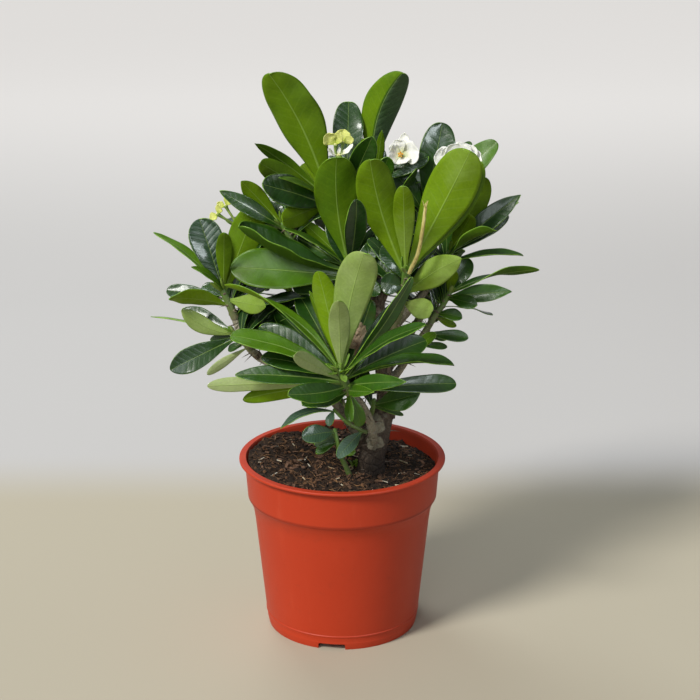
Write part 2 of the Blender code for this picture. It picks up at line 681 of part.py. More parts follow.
class Layout:
    """Where each leaf goes, so that it stays clear of what was placed before it."""

    def __init__(self):
        self.blades = []
        self.stems = {}

    def add_stem(self, owner, item):
        self.stems.setdefault(owner, []).append(surface_of(item))

    def add_probe(self, owner, route, radii):
        item = tube("probe", route, [radius + GAP for radius in radii], "bark")
        self.add_stem(owner, item)
        bpy.data.objects.remove(item, do_unlink=True)

    def crosses(self, owner, whole, outer, own_too):
        """True where a blade meets another one or a stem. Its root may enter its own shoot."""
        for other, tree, tree_outer in self.blades:
            if other != owner and tree.overlap(whole):
                return True
            if own_too and other == owner and tree_outer.overlap(outer):
                return True
        for other, trees in self.stems.items():
            near = outer if other == owner else whole
            if any(tree.overlap(near) for tree in trees):
                return True
        return False

    def settle(self, owner, leaf, root, tips, normal_of):
        """The first of the tips at which the leaf is clear, or else clear of the other shoots."""
        wide = LEAF_THICKNESS + 2 * GAP + 0.2
        for own_too in (True, False):
            for tip in tips:
                normal = normal_of(tip)
                shapes = [blade(leaf, root, tip, normal, wide, start) for start in (0.0, 0.25)]
                whole, outer = [BVHTree.FromBMesh(shape) for shape in shapes]
                for shape in shapes:
                    shape.free()
                if not self.crosses(owner, whole, outer, own_too):
                    self.blades.append((owner, whole, outer))
                    return tip, normal
        return None

    def is_near(self, owner, tree):
        """True where a surface meets a blade, or a stem of another owner."""
        if any(blade_tree.overlap(tree) for _, blade_tree, _ in self.blades):
            return True
        others = [trees for other, trees in self.stems.items() if other != owner]
        return any(stem.overlap(tree) for trees in others for stem in trees)


def point_down(route, distance):
    """The place this far back along the route from its end, and the way the route runs there."""
    for after, before in zip(route[::-1], route[-2::-1]):
        step = (after - before).length
        if distance <= step:
            return after.lerp(before, distance / step), (after - before).normalized()
        distance -= step
    return route[0], (route[1] - route[0]).normalized()


def seen_leaves(layout, shoot, route):
    """The blades of a shoot's own leaves, each moved along the line of sight till it is clear."""
    placed = []
    shifts = [0]
    for reach in (4, 8, 12, 17, 22, 28, 35, 43):
        shifts += [reach, -reach]
    for leaf in shoot.leaves:
        root, _ = point_down(route, leaf.down)
        tips = [sighted(leaf.across, leaf.up, leaf.toward + shift) for shift in shifts]
        found = layout.settle(
            shoot.name, leaf, root, tips, lambda tip: facing_eye(root, tip, leaf.turn)
        )
        if found:
            placed.append((leaf, root, *found))
    return placed


def spiral_leaves(layout, name, route, count, length, rise, draw, all_round):
    """Leaves up the stem by the golden angle, low ones spreading and high ones upright."""
    placed = []
    for index in range(count):
        share = (index + 0.5) / count
        root, way = point_down(route, 14 * (1 - share))
        bearing = GOLDEN_ANGLE * index + draw.uniform(-0.3, 0.3)
        if not all_round:
            bearing = math.pi / 2 + (share - 0.5) * 2.6 * (-1) ** index
        steep = math.radians(rise * share**0.8 + draw.uniform(-6, 6))
        reach = length * draw.uniform(0.82, 1.08) * (1 - 0.25 * share)
        width = reach * draw.uniform(*FILL_WIDTH)
        leaf = Leaf(0, 0, 0, 0, width, 0, reach * 0.09, fold=0, point=0.42)
        tips = []
        for lift in (0, 8, -8, 16, -16, 26, -26, 38):
            for swing in (0, 0.25, -0.25, 0.5, -0.5, 0.8, -0.8):
                angle = steep + math.radians(lift)
                flat = Vector((math.cos(bearing + swing), math.sin(bearing + swing), 0))
                outward = flat * math.cos(angle) + Vector((0, 0, math.sin(angle)))
                tips.append(root + outward * reach)

        def normal_of(tip):
            along = (tip - root).normalized()
            inward = way + Vector((0, 0, 0.6))
            return (inward - along * inward.dot(along)).normalized()

        found = layout.settle(name, leaf, root, tips, normal_of)
        if found:
            placed.append((leaf, root, *found))
    return placed


def spines(layout, owner, route, radii, count, draw, colour):
    """Three-sided spines round a stem by the golden angle, left out where they would cross a leaf."""
    cones = []
    for index in range(count):
        share = (index + draw.uniform(0.2, 0.8)) / count
        at = share * (len(route) - 1)
        before = route[int(at)]
        after = route[min(int(at) + 1, len(route) - 1)]
        way = (after - before).normalized()
        out = Quaternion(way, GOLDEN_ANGLE * index) @ way.orthogonal().normalized()
        out = (out + way * draw.uniform(-0.1, 0.35)).normalized()
        radius = radii[0] + (radii[1] - radii[0]) * share
        length = draw.uniform(*SPINE_LENGTH)
        turn = out.to_track_quat("Z", "Y").to_matrix().to_4x4()
        centre = before.lerp(after, at % 1) + out * (radius * 0.4 + length / 2)
        shape = bmesh.new()
        bmesh.ops.create_cone(
            shape,
            cap_ends=True,
            segments=3,
            radius1=SPINE_RADIUS,
            radius2=0.0,
            depth=length,
            matrix=Matrix.Translation(centre) @ turn,
        )
        if layout.is_near(owner, BVHTree.FromBMesh(shape)):
            shape.free()
        else:
            cones.append(add_object("spine", mesh_of("spine", shape), colour))
    return cones


def pot():
    """The thin-walled pot: rolled lip, band, stepped body and a notched, drained foot."""
    lip_foot = POT_HEIGHT - LIP_HEIGHT
    plate = FOOT_RING_HEIGHT - BASE_PLATE / 2
    outer = [
        (RIM_RADIUS - 0.9, POT_HEIGHT),
        (RIM_RADIUS, POT_HEIGHT - 0.8),
        (RIM_RADIUS - 0.3, lip_foot),
        (BAND_TOP_RADIUS, lip_foot - 0.3),
        BAND_FOOT,
        SHOULDER,
        (FOOT_RADIUS + 0.9, FOOT_RING_HEIGHT),
        (FOOT_RADIUS, 0.0),
        (FOOT_RADIUS - 2.2, 0.0),
    ]
    inner = [
        (FOOT_RADIUS - 2.0, plate - 0.5),
        (0.0, plate - 0.5),
        (0.0, plate - 0.5 + BASE_PLATE),
        (FOOT_RADIUS - 1.0, plate - 0.5 + BASE_PLATE),
        (SHOULDER[0] - POT_WALL, SHOULDER[1] + 0.6),
        (BAND_FOOT[0] - POT_WALL, BAND_FOOT[1] + 0.6),
        (BAND_TOP_RADIUS - POT_WALL, lip_foot - 0.3),
        (BAND_TOP_RADIUS - POT_WALL + 0.9, POT_HEIGHT),
    ]
    shape = bmesh.new()
    corners = [shape.verts.new((radius, 0.0, height)) for radius, height in outer + inner]
    edges = [shape.edges.new(pair) for pair in zip(corners, corners[1:] + corners[:1])]
    axis_edge = next(edge for edge in edges if all(abs(end.co.x) < 1e-6 for end in edge.verts))
    shape.edges.remove(axis_edge)
    bmesh.ops.spin(
        shape,
        geom=shape.verts[:] + shape.edges[:],
        axis=(0, 0, 1),
        cent=(0, 0, 0),
        angle=2 * math.pi,
        steps=POT_SIDES,
        use_merge=True,
    )
    bmesh.ops.remove_doubles(shape, verts=shape.verts[:], dist=0.001)
    item = add_object("pot", mesh_of("pot", shape), "pot_plastic")
    combine(item, drain_cutters() + notch_cutters(), "DIFFERENCE", "EXACT")
    return item


def drain_cutters():
    """Round drain holes through the raised base plate, one in the middle and a ring of others."""
    places = [(0.0, 0.0)]
    for index in range(DRAIN_COUNT):
        angle = 2 * math.pi * index / DRAIN_COUNT
        places.append((DRAIN_CIRCLE * math.cos(angle), DRAIN_CIRCLE * math.sin(angle)))
    cutters = []
    for x, y in places:
        shape = bmesh.new()
        bmesh.ops.create_cone(
            shape,
            cap_ends=True,
            segments=8,
            radius1=DRAIN_RADIUS,
            radius2=DRAIN_RADIUS,
            depth=3 * BASE_PLATE,
            matrix=Matrix.Translation((x, y, FOOT_RING_HEIGHT)),
        )
        cutters.append(add_object("drain_cutter", mesh_of("drain_cutter", shape), "pot_plastic"))
    return cutters


def notch_cutters():
    """Low openings through the foot ring, which let water run out from under the pot."""
    cutters = []
    for index in range(NOTCH_COUNT):
        angle = NOTCH_START + 2 * math.pi * index / NOTCH_COUNT
        shape = bmesh.new()
        bmesh.ops.create_cube(shape, size=1.0)
        bmesh.ops.scale(shape, vec=(10.0, NOTCH_WIDTH, 2 * NOTCH_HEIGHT), verts=shape.verts[:])
        bmesh.ops.translate(shape, vec=(FOOT_RADIUS - 1.0, 0, 0), verts=shape.verts[:])
        bmesh.ops.rotate(
            shape, cent=(0, 0, 0), matrix=Matrix.Rotation(angle, 3, "Z"), verts=shape.verts[:]
        )
        cutters.append(add_object("notch_cutter", mesh_of("notch_cutter", shape), "pot_plastic"))
    return cutters


def soil_height(x, y):
    """The lumpy top of the soil: high at the left, low at the back right."""
    slope = -0.022 * x - 0.0012 * max(0.0, x) * max(0.0, y)
    lumps = noise.noise(Vector((x, y, 3.0)) * 0.11) + 0.6 * noise.noise(Vector((x, y, 9.0)) * 0.3)
    return SOIL_LEVEL + slope + SOIL_LUMP * lumps


def soil(standing):
    """The body of soil that fills the pot, with a plain hole for each stem that stands in it."""
    gap = POT_WALL + SOIL_CLEARANCE
    side = [
        (0.0, FOOT_RING_HEIGHT + 0.9),
        (FOOT_RADIUS - 1.8, FOOT_RING_HEIGHT + 0.9),
        (SHOULDER[0] - gap, SHOULDER[1] + 0.6),
        (BAND_FOOT[0] - gap, BAND_FOOT[1] + 0.6),
    ]
    top_radius = BAND_TOP_RADIUS - gap - 0.6
    top = [(top_radius * share, SOIL_LEVEL) for share in (1.0, 0.84, 0.65, 0.46, 0.25, 0.0)]
    shape = bmesh.new()
    corners = [shape.verts.new((radius, 0.0, height)) for radius, height in side + top]
    for pair in zip(corners, corners[1:]):
        shape.edges.new(pair)
    bmesh.ops.spin(
        shape,
        geom=shape.verts[:] + shape.edges[:],
        axis=(0, 0, 1),
        cent=(0, 0, 0),
        angle=2 * math.pi,
        steps=SOIL_SIDES,
        use_merge=True,
    )
    bmesh.ops.remove_doubles(shape, verts=shape.verts[:], dist=0.001)
    for corner in shape.verts:
        if corner.co.z > SOIL_LEVEL - 1:
            corner.co.z = soil_height(corner.co.x, corner.co.y)
    bmesh.ops.triangulate(shape, faces=shape.faces[:])
    item = add_object("soil", mesh_of("soil", shape), "soil")
    holes = []
    for route, radius, sides in standing:
        below = route[0] + (route[0] - route[1]).normalized() * GAP
        reach = [below, *route[1:]]
        holes.append(tube("stem_hole", reach, (radius + GAP, radius + GAP), "soil", sides))
    combine(item, holes, "DIFFERENCE", "EXACT")
    return item


def bloom(flower):
    """A stalk with a small cup, and bracts that open from the cup, as one body."""
    route = [sighted(*place) for place in flower.stem]
    cup = route[-1]
    way = (cup - route[-2]).normalized()
    route = [*route[:-1], cup - way * 0.8, cup + way * 0.6]
    body = tube(flower.name, route, (flower.girth, flower.girth * 1.5), flower.colour)
    facing = Vector(flower.facing).normalized()
    pieces = []
    for bract in flower.bracts:
        tip = sighted(bract.across, bract.up, bract.toward)
        along = (tip - cup).normalized()
        normal = (facing - along * facing.dot(along)).normalized()
        bow = -0.1 * (tip - cup).length
        form = Leaf(0, 0, 0, 0, bract.width, 0, bow, 0, 0, 0, bract.belly, bract.point)
        shape = blade(form, cup, tip, normal, BRACT_THICKNESS)
        pieces.append(add_object("bract", mesh_of("bract", shape), flower.colour))
    combine(body, pieces, "UNION", "MANIFOLD")
    return body


def open_centre():
    """The round cushion of nectar glands in the middle of the open bloom."""
    place, radius = OPEN_CENTRE
    centre = sighted(*place)
    facing = (EYE - centre).normalized()
    turn = facing.to_track_quat("Z", "Y").to_matrix().to_4x4()
    shape = bmesh.new()
    bmesh.ops.create_cone(
        shape,
        cap_ends=True,
        segments=8,
        radius1=radius,
        radius2=radius * 0.7,
        depth=1.2,
        matrix=Matrix.Translation(centre) @ turn,
    )
    return add_object("bloom_open_centre", mesh_of("bloom_open_centre", shape), "nectar")


def dry_stalk():
    """A dead straw-coloured stalk, with short splinters where its flower broke off."""
    route = route_of(DRY_STALK.route)
    item = tube("dry_stalk", route, DRY_STALK.girth, "straw")
    splinters = []
    root = route[-1] - Vector((0, 0, 0.8))
    for place in FRAYED_ENDS:
        splinters.append(tube("splinter", [root, sighted(*place)], SPLINTER, "straw"))
    combine(item, splinters, "UNION", "MANIFOLD")
    return item


def green_shoot(layout, shoot, route, placed, draw):
    """A green stem end with its leaves, its bloom stalks and its spines, united into one body."""
    radii = (shoot.girth, shoot.girth * 0.7)
    stem = tube(shoot.name, route, radii, "leaf")
    pieces = spines(layout, shoot.name, route, radii, 2, draw, "leaf")
    for leaf, root, tip, normal in placed:
        shape = blade(leaf, root, tip, normal, LEAF_THICKNESS)
        pieces.append(add_object("blade", mesh_of("blade", shape), "leaf"))
    for stalk in STALKS:
        if stalk.owner == shoot.name:
            pieces.append(tube("stalk", route_of(stalk.route), stalk.girth, "leaf"))
    combine(stem, pieces, "UNION", "MANIFOLD")
    return stem


def woody_stems(layout, draw):
    """The trunk, its branches and their spines, united into one body."""
    trunk_route = route_of(TRUNK.route)
    trunk = tube("woody_stems", trunk_route, TRUNK.girth, "bark", TRUNK_SIDES)
    pieces = spines(layout, "woody_stems", trunk_route[4:], TRUNK.girth, 7, draw, "bark")
    for branch in BRANCHES:
        route = branch_route(branch)
        pieces.append(tube("branch", route, branch.girth, "bark"))
        count = int((route[-1] - route[0]).length / SPINE_SPACING)
        pieces += spines(layout, "woody_stems", route[1:], branch.girth, count, draw, "bark")
    combine(trunk, pieces, "UNION", "MANIFOLD")
    return trunk


def plan(draw):
    """Settles where every leaf goes: the stems and blooms first, then the seen leaves, then the rest."""
    layout = Layout()
    for branch in [TRUNK, *BRANCHES]:
        layout.add_probe("woody_stems", branch_route(branch), branch.girth)
    routes = {}
    for shoot in [*SHOOTS, *SPRAYS, *SPROUTS]:
        routes[shoot.name] = route_of(shoot.stem)
        layout.add_probe(shoot.name, routes[shoot.name], (shoot.girth, shoot.girth * 0.7))
    for stalk in STALKS:
        layout.add_probe(stalk.owner + "_stalk", route_of(stalk.route)[1:], stalk.girth)
    layout.add_probe("dry_stalk", route_of(DRY_STALK.route), DRY_STALK.girth)
    for flower in BLOOMS:
        layout.add_stem(flower.name, bloom(flower))
    placed = {}
    for shoot in [*SHOOTS, *SPROUTS]:
        placed[shoot.name] = seen_leaves(layout, shoot, routes[shoot.name])
    for shoot in SHOOTS:
        placed[shoot.name] += spiral_leaves(
            layout, shoot.name, routes[shoot.name], shoot.fill, FILL_LENGTH, FILL_RISE, draw, False
        )
    for spray in SPRAYS:
        placed[spray.name] = spiral_leaves(
            layout, spray.name, routes[spray.name], spray.count, spray.length, spray.rise, draw, True
        )
    return layout, routes, placed


def main():
    clear_scene()
    draw = random.Random(SEED)
    layout, routes, placed = plan(draw)
    for shoot in [*SHOOTS, *SPRAYS, *SPROUTS]:
        green_shoot(layout, shoot, routes[shoot.name], placed[shoot.name], draw)
    woody_stems(layout, draw)
    open_centre()
    dry_stalk()
    pot()
    standing = [(route_of(TRUNK.route)[:5], TRUNK.girth[0], TRUNK_SIDES)]
    standing.append((routes["sprout_in_soil"][:5], SPROUTS[1].girth, STEM_SIDES))
    soil(standing)


if __name__ == "__main__":
    main()
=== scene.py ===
"""The potted crown of thorns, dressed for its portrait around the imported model."""

import math
import random
from collections import namedtuple

import bmesh
import bpy
from mathutils import Matrix, Quaternion, Vector, noise
from mathutils.bvhtree import BVHTree
from mathutils.kdtree import KDTree


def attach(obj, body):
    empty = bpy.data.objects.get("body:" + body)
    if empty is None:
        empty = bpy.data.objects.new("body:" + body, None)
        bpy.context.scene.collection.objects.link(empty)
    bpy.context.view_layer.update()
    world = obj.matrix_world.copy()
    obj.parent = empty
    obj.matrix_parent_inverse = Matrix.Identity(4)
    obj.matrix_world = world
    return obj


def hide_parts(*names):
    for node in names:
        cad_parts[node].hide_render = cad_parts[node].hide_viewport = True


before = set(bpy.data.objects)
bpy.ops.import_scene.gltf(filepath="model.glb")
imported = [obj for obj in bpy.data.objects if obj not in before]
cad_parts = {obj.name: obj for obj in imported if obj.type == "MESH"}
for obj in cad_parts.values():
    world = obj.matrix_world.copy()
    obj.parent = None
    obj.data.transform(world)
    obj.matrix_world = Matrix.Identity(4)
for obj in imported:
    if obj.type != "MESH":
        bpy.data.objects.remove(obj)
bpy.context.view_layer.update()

# The camera stands in front of the pot at the photograph's height and looks a little down.
# It also gives the eye from which the plant's places were read.
MM = 0.001
EYE = Vector((4.9, -1092.5, 541.2))
LOOK_DOWN = math.radians(18.2)
LENS = 95.4
SENSOR = 36
NEAREST = 0.01

scene = bpy.context.scene
camera = bpy.data.objects.new("camera", bpy.data.cameras.new("camera"))
camera.data.sensor_width = SENSOR
camera.data.lens = LENS
camera.data.clip_start = NEAREST
camera.location = EYE * MM
camera.rotation_euler = (math.pi / 2 - LOOK_DOWN, 0, 0)
scene.collection.objects.link(camera)
scene.camera = camera

# The studio is a pale floor under a soft sky. A broad sun stands high at the front left. Cool
# windows above and behind, over the camera and at the front right give the leaves their sheen. The
# last of them only shows as sheen.
SUN_TURN = (math.radians(47), 0.0, math.radians(-46))
SUN_WIDTH = math.radians(16)
SUN_STRENGTH = 3.4
SUN_COLOUR = (1.0, 0.985, 0.955)
WINDOWS = {
    "behind": ((-0.35, 0.75, 1.3), 0.5, 8.0),
    "over_camera": ((-0.25, -1.55, 0.95), 0.6, 5.0),
    "right_front": ((0.86, -1.12, 0.86), 0.4, 14.0),
}
WINDOW_COLOUR = (0.88, 0.95, 1.0)
AIM = Vector((0.0, 0.0, 0.22))
SKY_COLOUR = (0.9, 0.94, 1.0, 1.0)
SKY_STRENGTH = 0.31


def add_lamp(name, kind, colour, energy):
    lamp = bpy.data.objects.new(name, bpy.data.lights.new(name, kind))
    lamp.data.color = colour
    lamp.data.energy = energy
    scene.collection.objects.link(lamp)
    return lamp


sun = add_lamp("sun", "SUN", SUN_COLOUR, SUN_STRENGTH)
sun.data.angle = SUN_WIDTH
sun.rotation_euler = SUN_TURN
for name, (place, size, power) in WINDOWS.items():
    window = add_lamp(name, "AREA", WINDOW_COLOUR, power)
    window.data.size = size
    window.location = place
    window.rotation_euler = (AIM - Vector(place)).to_track_quat("-Z", "Y").to_euler()
    window.visible_diffuse = name != "right_front"

sky = bpy.data.worlds.new("sky")
sky.use_nodes = True
sky.node_tree.nodes["Background"].inputs["Color"].default_value = SKY_COLOUR
sky.node_tree.nodes["Background"].inputs["Strength"].default_value = SKY_STRENGTH
scene.world = sky
scene.view_settings.view_transform = "Standard"


class Wire:
    """A socket in a finish. Python's operators on it add Math nodes."""

    def __init__(self, finish, socket):
        self.finish = finish
        self.socket = socket

    def math(self, operation, *values):
        settings = {"operation": operation}
        return self.finish.add("ShaderNodeMath", settings, dict(enumerate(values)))

    def __add__(self, other):
        return self.math("ADD", self, other)

    def __radd__(self, other):
        return self.math("ADD", other, self)

    def __sub__(self, other):
        return self.math("SUBTRACT", self, other)

    def __rsub__(self, other):
        return self.math("SUBTRACT", other, self)

    def __mul__(self, other):
        return self.math("MULTIPLY", self, other)

    def __truediv__(self, other):
        return self.math("DIVIDE", self, other)

    def __pow__(self, other):
        return self.math("POWER", self, other)

    def __abs__(self):
        return self.math("ABSOLUTE", self)

    def to_and_fro(self, reach):
        """Runs up to reach and back down to 0 as the value grows."""
        return self.math("PINGPONG", self, reach)

    def between(self, low, high):
        """0 below low, 1 above high and a smooth rise between them."""
        values = {"Value": self, "From Min": low, "From Max": high}
        settings = {"interpolation_type": "SMOOTHSTEP"}
        return self.finish.add("ShaderNodeMapRange", settings, values)

    def part(self, index, kind="XYZ"):
        """One part of a vector, or of a colour."""
        socket = "Vector" if kind == "XYZ" else kind
        return self.finish.add("ShaderNodeSeparate" + kind, None, {socket: self}, index)


class Finish:
    """A material under construction, whose Principled shader takes its colour, gloss and relief."""

    def __init__(self, name, **constants):
        self.material = bpy.data.materials.new(name)
        self.material.use_nodes = True
        self.tree = self.material.node_tree
        self.shader = self.tree.nodes["Principled BSDF"]
        self.place = self.add("ShaderNodeTexCoord", output="Object")
        self.coat(**constants)

    def add(self, kind, settings=None, values=None, output=0):
        node = self.tree.nodes.new(kind)
        for name, setting in (settings or {}).items():
            setattr(node, name, setting)
        for name, value in (values or {}).items():
            self.feed(node.inputs[name], value)
        return Wire(self, node.outputs[output])

    def feed(self, socket, value):
        if isinstance(value, Wire):
            self.tree.links.new(value.socket, socket)
        elif socket.type == "RGBA" and len(value) == 3:
            socket.default_value = (*value, 1.0)
        else:
            socket.default_value = value

    def noise(self, scale, detail=3.0, roughness=0.55, place=None, warp=0.0):
        """Cloudy noise, where scale counts its waves in a metre."""
        values = {"Vector": place or self.place, "Scale": scale, "Detail": detail}
        values |= {"Roughness": roughness, "Distortion": warp}
        return self.add("ShaderNodeTexNoise", None, values)

    def cells(self, scale, feature="F1"):
        """The distance to the nearest of scattered points, or to the border between two of them."""
        values = {"Vector": self.place, "Scale": scale}
        return self.add("ShaderNodeTexVoronoi", {"feature": feature}, values, "Distance")

    def mix(self, share, first, second):
        settings = {"data_type": "RGBA"}
        return self.add("ShaderNodeMix", settings, {0: share, 6: first, 7: second}, 2)

    def ramp(self, value, *stops):
        wire = self.add("ShaderNodeValToRGB", None, {"Fac": value})
        elements = wire.socket.node.color_ramp.elements
        while len(elements) < len(stops):
            elements.new(0.5)
        for element, (at, colour) in zip(elements, stops):
            element.position = at
            element.color = (*colour, 1.0)
        return wire

    def mark(self, name, output="Fac"):
        """A value that the mesh carries at its corners."""
        return self.add("ShaderNodeAttribute", {"attribute_name": name}, output=output)

    def on_blade(self):
        """How far along a blade and how far across it, in spaces between its veins."""
        spot = self.add("ShaderNodeUVMap", {"uv_map": "blade"})
        return spot.part(0), abs(spot.part(1))

    def stretched(self, scale):
        """The place on the object, stretched by a factor for each axis."""
        return self.add("ShaderNodeMapping", None, {"Vector": self.place, "Scale": scale})

    def relief(self, height, depth):
        """Feeds the shader a relief whose full height is depth metres."""
        values = {"Height": height, "Distance": depth, "Strength": 1.0}
        self.feed(self.shader.inputs["Normal"], self.add("ShaderNodeBump", None, values))

    def coat(self, **sockets):
        for name, value in sockets.items():
            self.feed(self.shader.inputs[name.replace("_", " ")], value)
        return self.material


FLOOR_SIZE = 8.0

floor_shape = bmesh.new()
bmesh.ops.create_grid(floor_shape, x_segments=1, y_segments=1, size=FLOOR_SIZE / 2)
floor_mesh = bpy.data.meshes.new("floor")
floor_shape.to_mesh(floor_mesh)
floor_shape.free()
floor = bpy.data.objects.new("floor", floor_mesh)
scene.collection.objects.link(floor)
paint = Finish("pale_floor", Roughness=0.85, Specular_IOR_Level=0.2)
tint = paint.noise(1.5, 2.0)
far = paint.place.part(1)
near_colour = paint.mix(tint, (0.396, 0.357, 0.272), (0.422, 0.378, 0.289))
# Behind the plant the floor is painted a darker grey and far off a lighter grey: painted shade that
# tones down the light of the lamp behind, and painted light far away. The beige near the pot is the
# floor's own colour.
painted_shade_band = paint.mix(tint, (0.44, 0.425, 0.41), (0.47, 0.455, 0.44))
painted_light_far = paint.mix(far.between(0.7, 1.9), painted_shade_band, (0.74, 0.72, 0.70))
floor_colour = paint.mix(far.between(0.18, 0.29), near_colour, painted_light_far)
floor_mesh.materials.append(paint.coat(Base_Color=floor_colour))


def object_of(name, shape):
    """An object made of a bmesh in millimetres."""
    bmesh.ops.scale(shape, vec=(MM, MM, MM), verts=shape.verts[:])
    mesh = bpy.data.meshes.new(name)
    shape.to_mesh(mesh)
    shape.free()
    return bpy.data.objects.new(name, mesh)


def add_piece(name, shape, materials, node, smooth=math.radians(40)):
    """Makes a piece of a bmesh in millimetres: it rides on the root and stands for a node."""
    piece = object_of(name, shape)
    piece.data.shade_smooth()
    if smooth:
        piece.data.set_sharp_from_angle(angle=smooth)
    for material in materials:
        piece.data.materials.append(material)
    scene.collection.objects.link(piece)
    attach(piece, "root")
    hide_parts(node)
    return piece


def arc(centre, radius, start, end, count):
    """Points on an arc in the pot's section, from one angle to another in degrees."""
    points = []
    for index in range(count):
        angle = math.radians(start + (end - start) * index / (count - 1))
        points.append((centre[0] + radius * math.cos(angle), centre[1] + radius * math.sin(angle)))
    return points


def spun(shape, steps):
    """Turns the edges in the shape once round the upright axis, into a closed body."""
    bmesh.ops.spin(
        shape,
        geom=shape.verts[:] + shape.edges[:],
        axis=(0, 0, 1),
        cent=(0, 0, 0),
        angle=2 * math.pi,
        steps=steps,
        use_merge=True,
    )
    bmesh.ops.remove_doubles(shape, verts=shape.verts[:], dist=0.001)
    bmesh.ops.recalc_face_normals(shape, faces=shape.faces[:])
    return shape


def turned(section, steps):
    """A closed body turned about the upright axis from a section that starts and ends on it."""
    shape = bmesh.new()
    corners = [shape.verts.new((radius, 0.0, height)) for radius, height in section]
    for pair in zip(corners, corners[1:]):
        shape.edges.new(pair)
    return spun(shape, steps)


# The pot is one thin moulding of terracotta-coloured plastic. Its rim is rolled into a lip, an
# upper band steps in to a tapering body, and a raised plate with drain holes closes it over a
# notched foot.
POT_HEIGHT = 112.4
RIM_RADIUS = 65.0
LIP_HEIGHT = 1.7
LIP_ROUND = 0.8
LIP_UNDER_ROUND = 0.4
BAND_TOP_RADIUS = 61.5
BAND_FOOT = (59.8, 87.6)
BAND_ROUND = 1.0
SHOULDER = (56.0, 79.2)
FOOT_RADIUS = 47.5
FOOT_BEAD = 9.2
BEAD_SECTION = ((0.0, 0.7), (0.28, 0.35), (0.28, -0.35), (0.0, -0.7))
FOOT_RING = 5.5
FOOT_RING_WIDTH = 2.2
POT_WALL = 1.6
PLATE = 2.0
PLATE_TOP = 6.0
DRAIN_RADIUS = 4.0
DRAIN_CIRCLE = 30.0
DRAIN_COUNT = 6
NOTCH_SIZE = (10.0, 17.0, 8.0)
NOTCH_ROUND = 1.4
NOTCH_COUNT = 3
NOTCH_START = math.radians(-98.0)
POT_STEPS = 128
POT_SHARP = math.radians(32)

lip_foot = POT_HEIGHT - LIP_HEIGHT
lip = arc((RIM_RADIUS - LIP_ROUND, POT_HEIGHT - LIP_ROUND), LIP_ROUND, 90, 0, 6)
under = (RIM_RADIUS - LIP_UNDER_ROUND, lip_foot + LIP_UNDER_ROUND)
lip += arc(under, LIP_UNDER_ROUND, 0, -90, 4)
foot = (FOOT_RADIUS + 1.3, FOOT_RING + 2.5)
wall_top = (SHOULDER[0] - 0.8, SHOULDER[1] - 8.0)


def wall_at(height):
    """The tapering wall's outer radius at this height."""
    share = (height - foot[1]) / (wall_top[1] - foot[1])
    return foot[0] + (wall_top[0] - foot[0]) * share


outside = [
    *lip,
    (BAND_TOP_RADIUS + 0.5, lip_foot),
    (BAND_TOP_RADIUS, lip_foot - 0.5),
    (BAND_FOOT[0] + 0.1, BAND_FOOT[1] + 1.0),
    *arc((BAND_FOOT[0] - BAND_ROUND, BAND_FOOT[1] - 0.2), BAND_ROUND, 0, -55, 5),
    (BAND_FOOT[0] - 1.3, BAND_FOOT[1] - 2.6),
    (BAND_FOOT[0] - 2.3, BAND_FOOT[1] - 5.0),
    (SHOULDER[0] + 0.5, SHOULDER[1] + 0.6),
    (SHOULDER[0] - 0.1, SHOULDER[1] - 3.0),
    wall_top,
    *((wall_at(FOOT_BEAD + up) + out, FOOT_BEAD + up) for out, up in BEAD_SECTION),
    foot,
    *arc((FOOT_RADIUS - 1.0, FOOT_RING - 1.0), 1.9, 20, 0, 3),
    (FOOT_RADIUS, 0.2),
    (FOOT_RADIUS - 0.2, 0.0),
    (FOOT_RADIUS - FOOT_RING_WIDTH, 0.0),
    (FOOT_RADIUS - FOOT_RING_WIDTH, PLATE_TOP - PLATE),
]
inside = [
    (FOOT_RADIUS - 2.6, PLATE_TOP),
    (FOOT_RADIUS - 0.6, PLATE_TOP + 1.4),
    (SHOULDER[0] - POT_WALL, SHOULDER[1] + 0.6),
    (BAND_FOOT[0] - POT_WALL, BAND_FOOT[1] + 0.6),
    (BAND_TOP_RADIUS - POT_WALL, lip_foot - 0.5),
    (BAND_TOP_RADIUS - POT_WALL + 0.5, POT_HEIGHT - 0.7),
    (BAND_TOP_RADIUS - POT_WALL + 1.0, POT_HEIGHT),
]
section = [(0.0, PLATE_TOP), *inside, *outside, (0.0, PLATE_TOP - PLATE)]


def helper(name, shape):
    """An object of a bmesh in millimetres that only helps to make another."""
    bmesh.ops.recalc_face_normals(shape, faces=shape.faces[:])
    return object_of(name, shape)


def apply_cut(piece, cutters):
    """Cuts the helpers out of the piece with one Boolean and removes them."""
    group = bpy.data.collections.new("cutters")
    scene.collection.children.link(group)
    for cutter in cutters:
        group.objects.link(cutter)
    cut = piece.modifiers.new("cut", "BOOLEAN")
    cut.operation = "DIFFERENCE"
    cut.operand_type = "COLLECTION"
    cut.collection = group
    bpy.context.view_layer.update()
    graph = bpy.context.evaluated_depsgraph_get()
    result = bpy.data.meshes.new_from_object(piece.evaluated_get(graph))
    piece.modifiers.clear()
    piece.data = result
    for cutter in cutters:
        bpy.data.objects.remove(cutter, do_unlink=True)
    bpy.data.collections.remove(group)


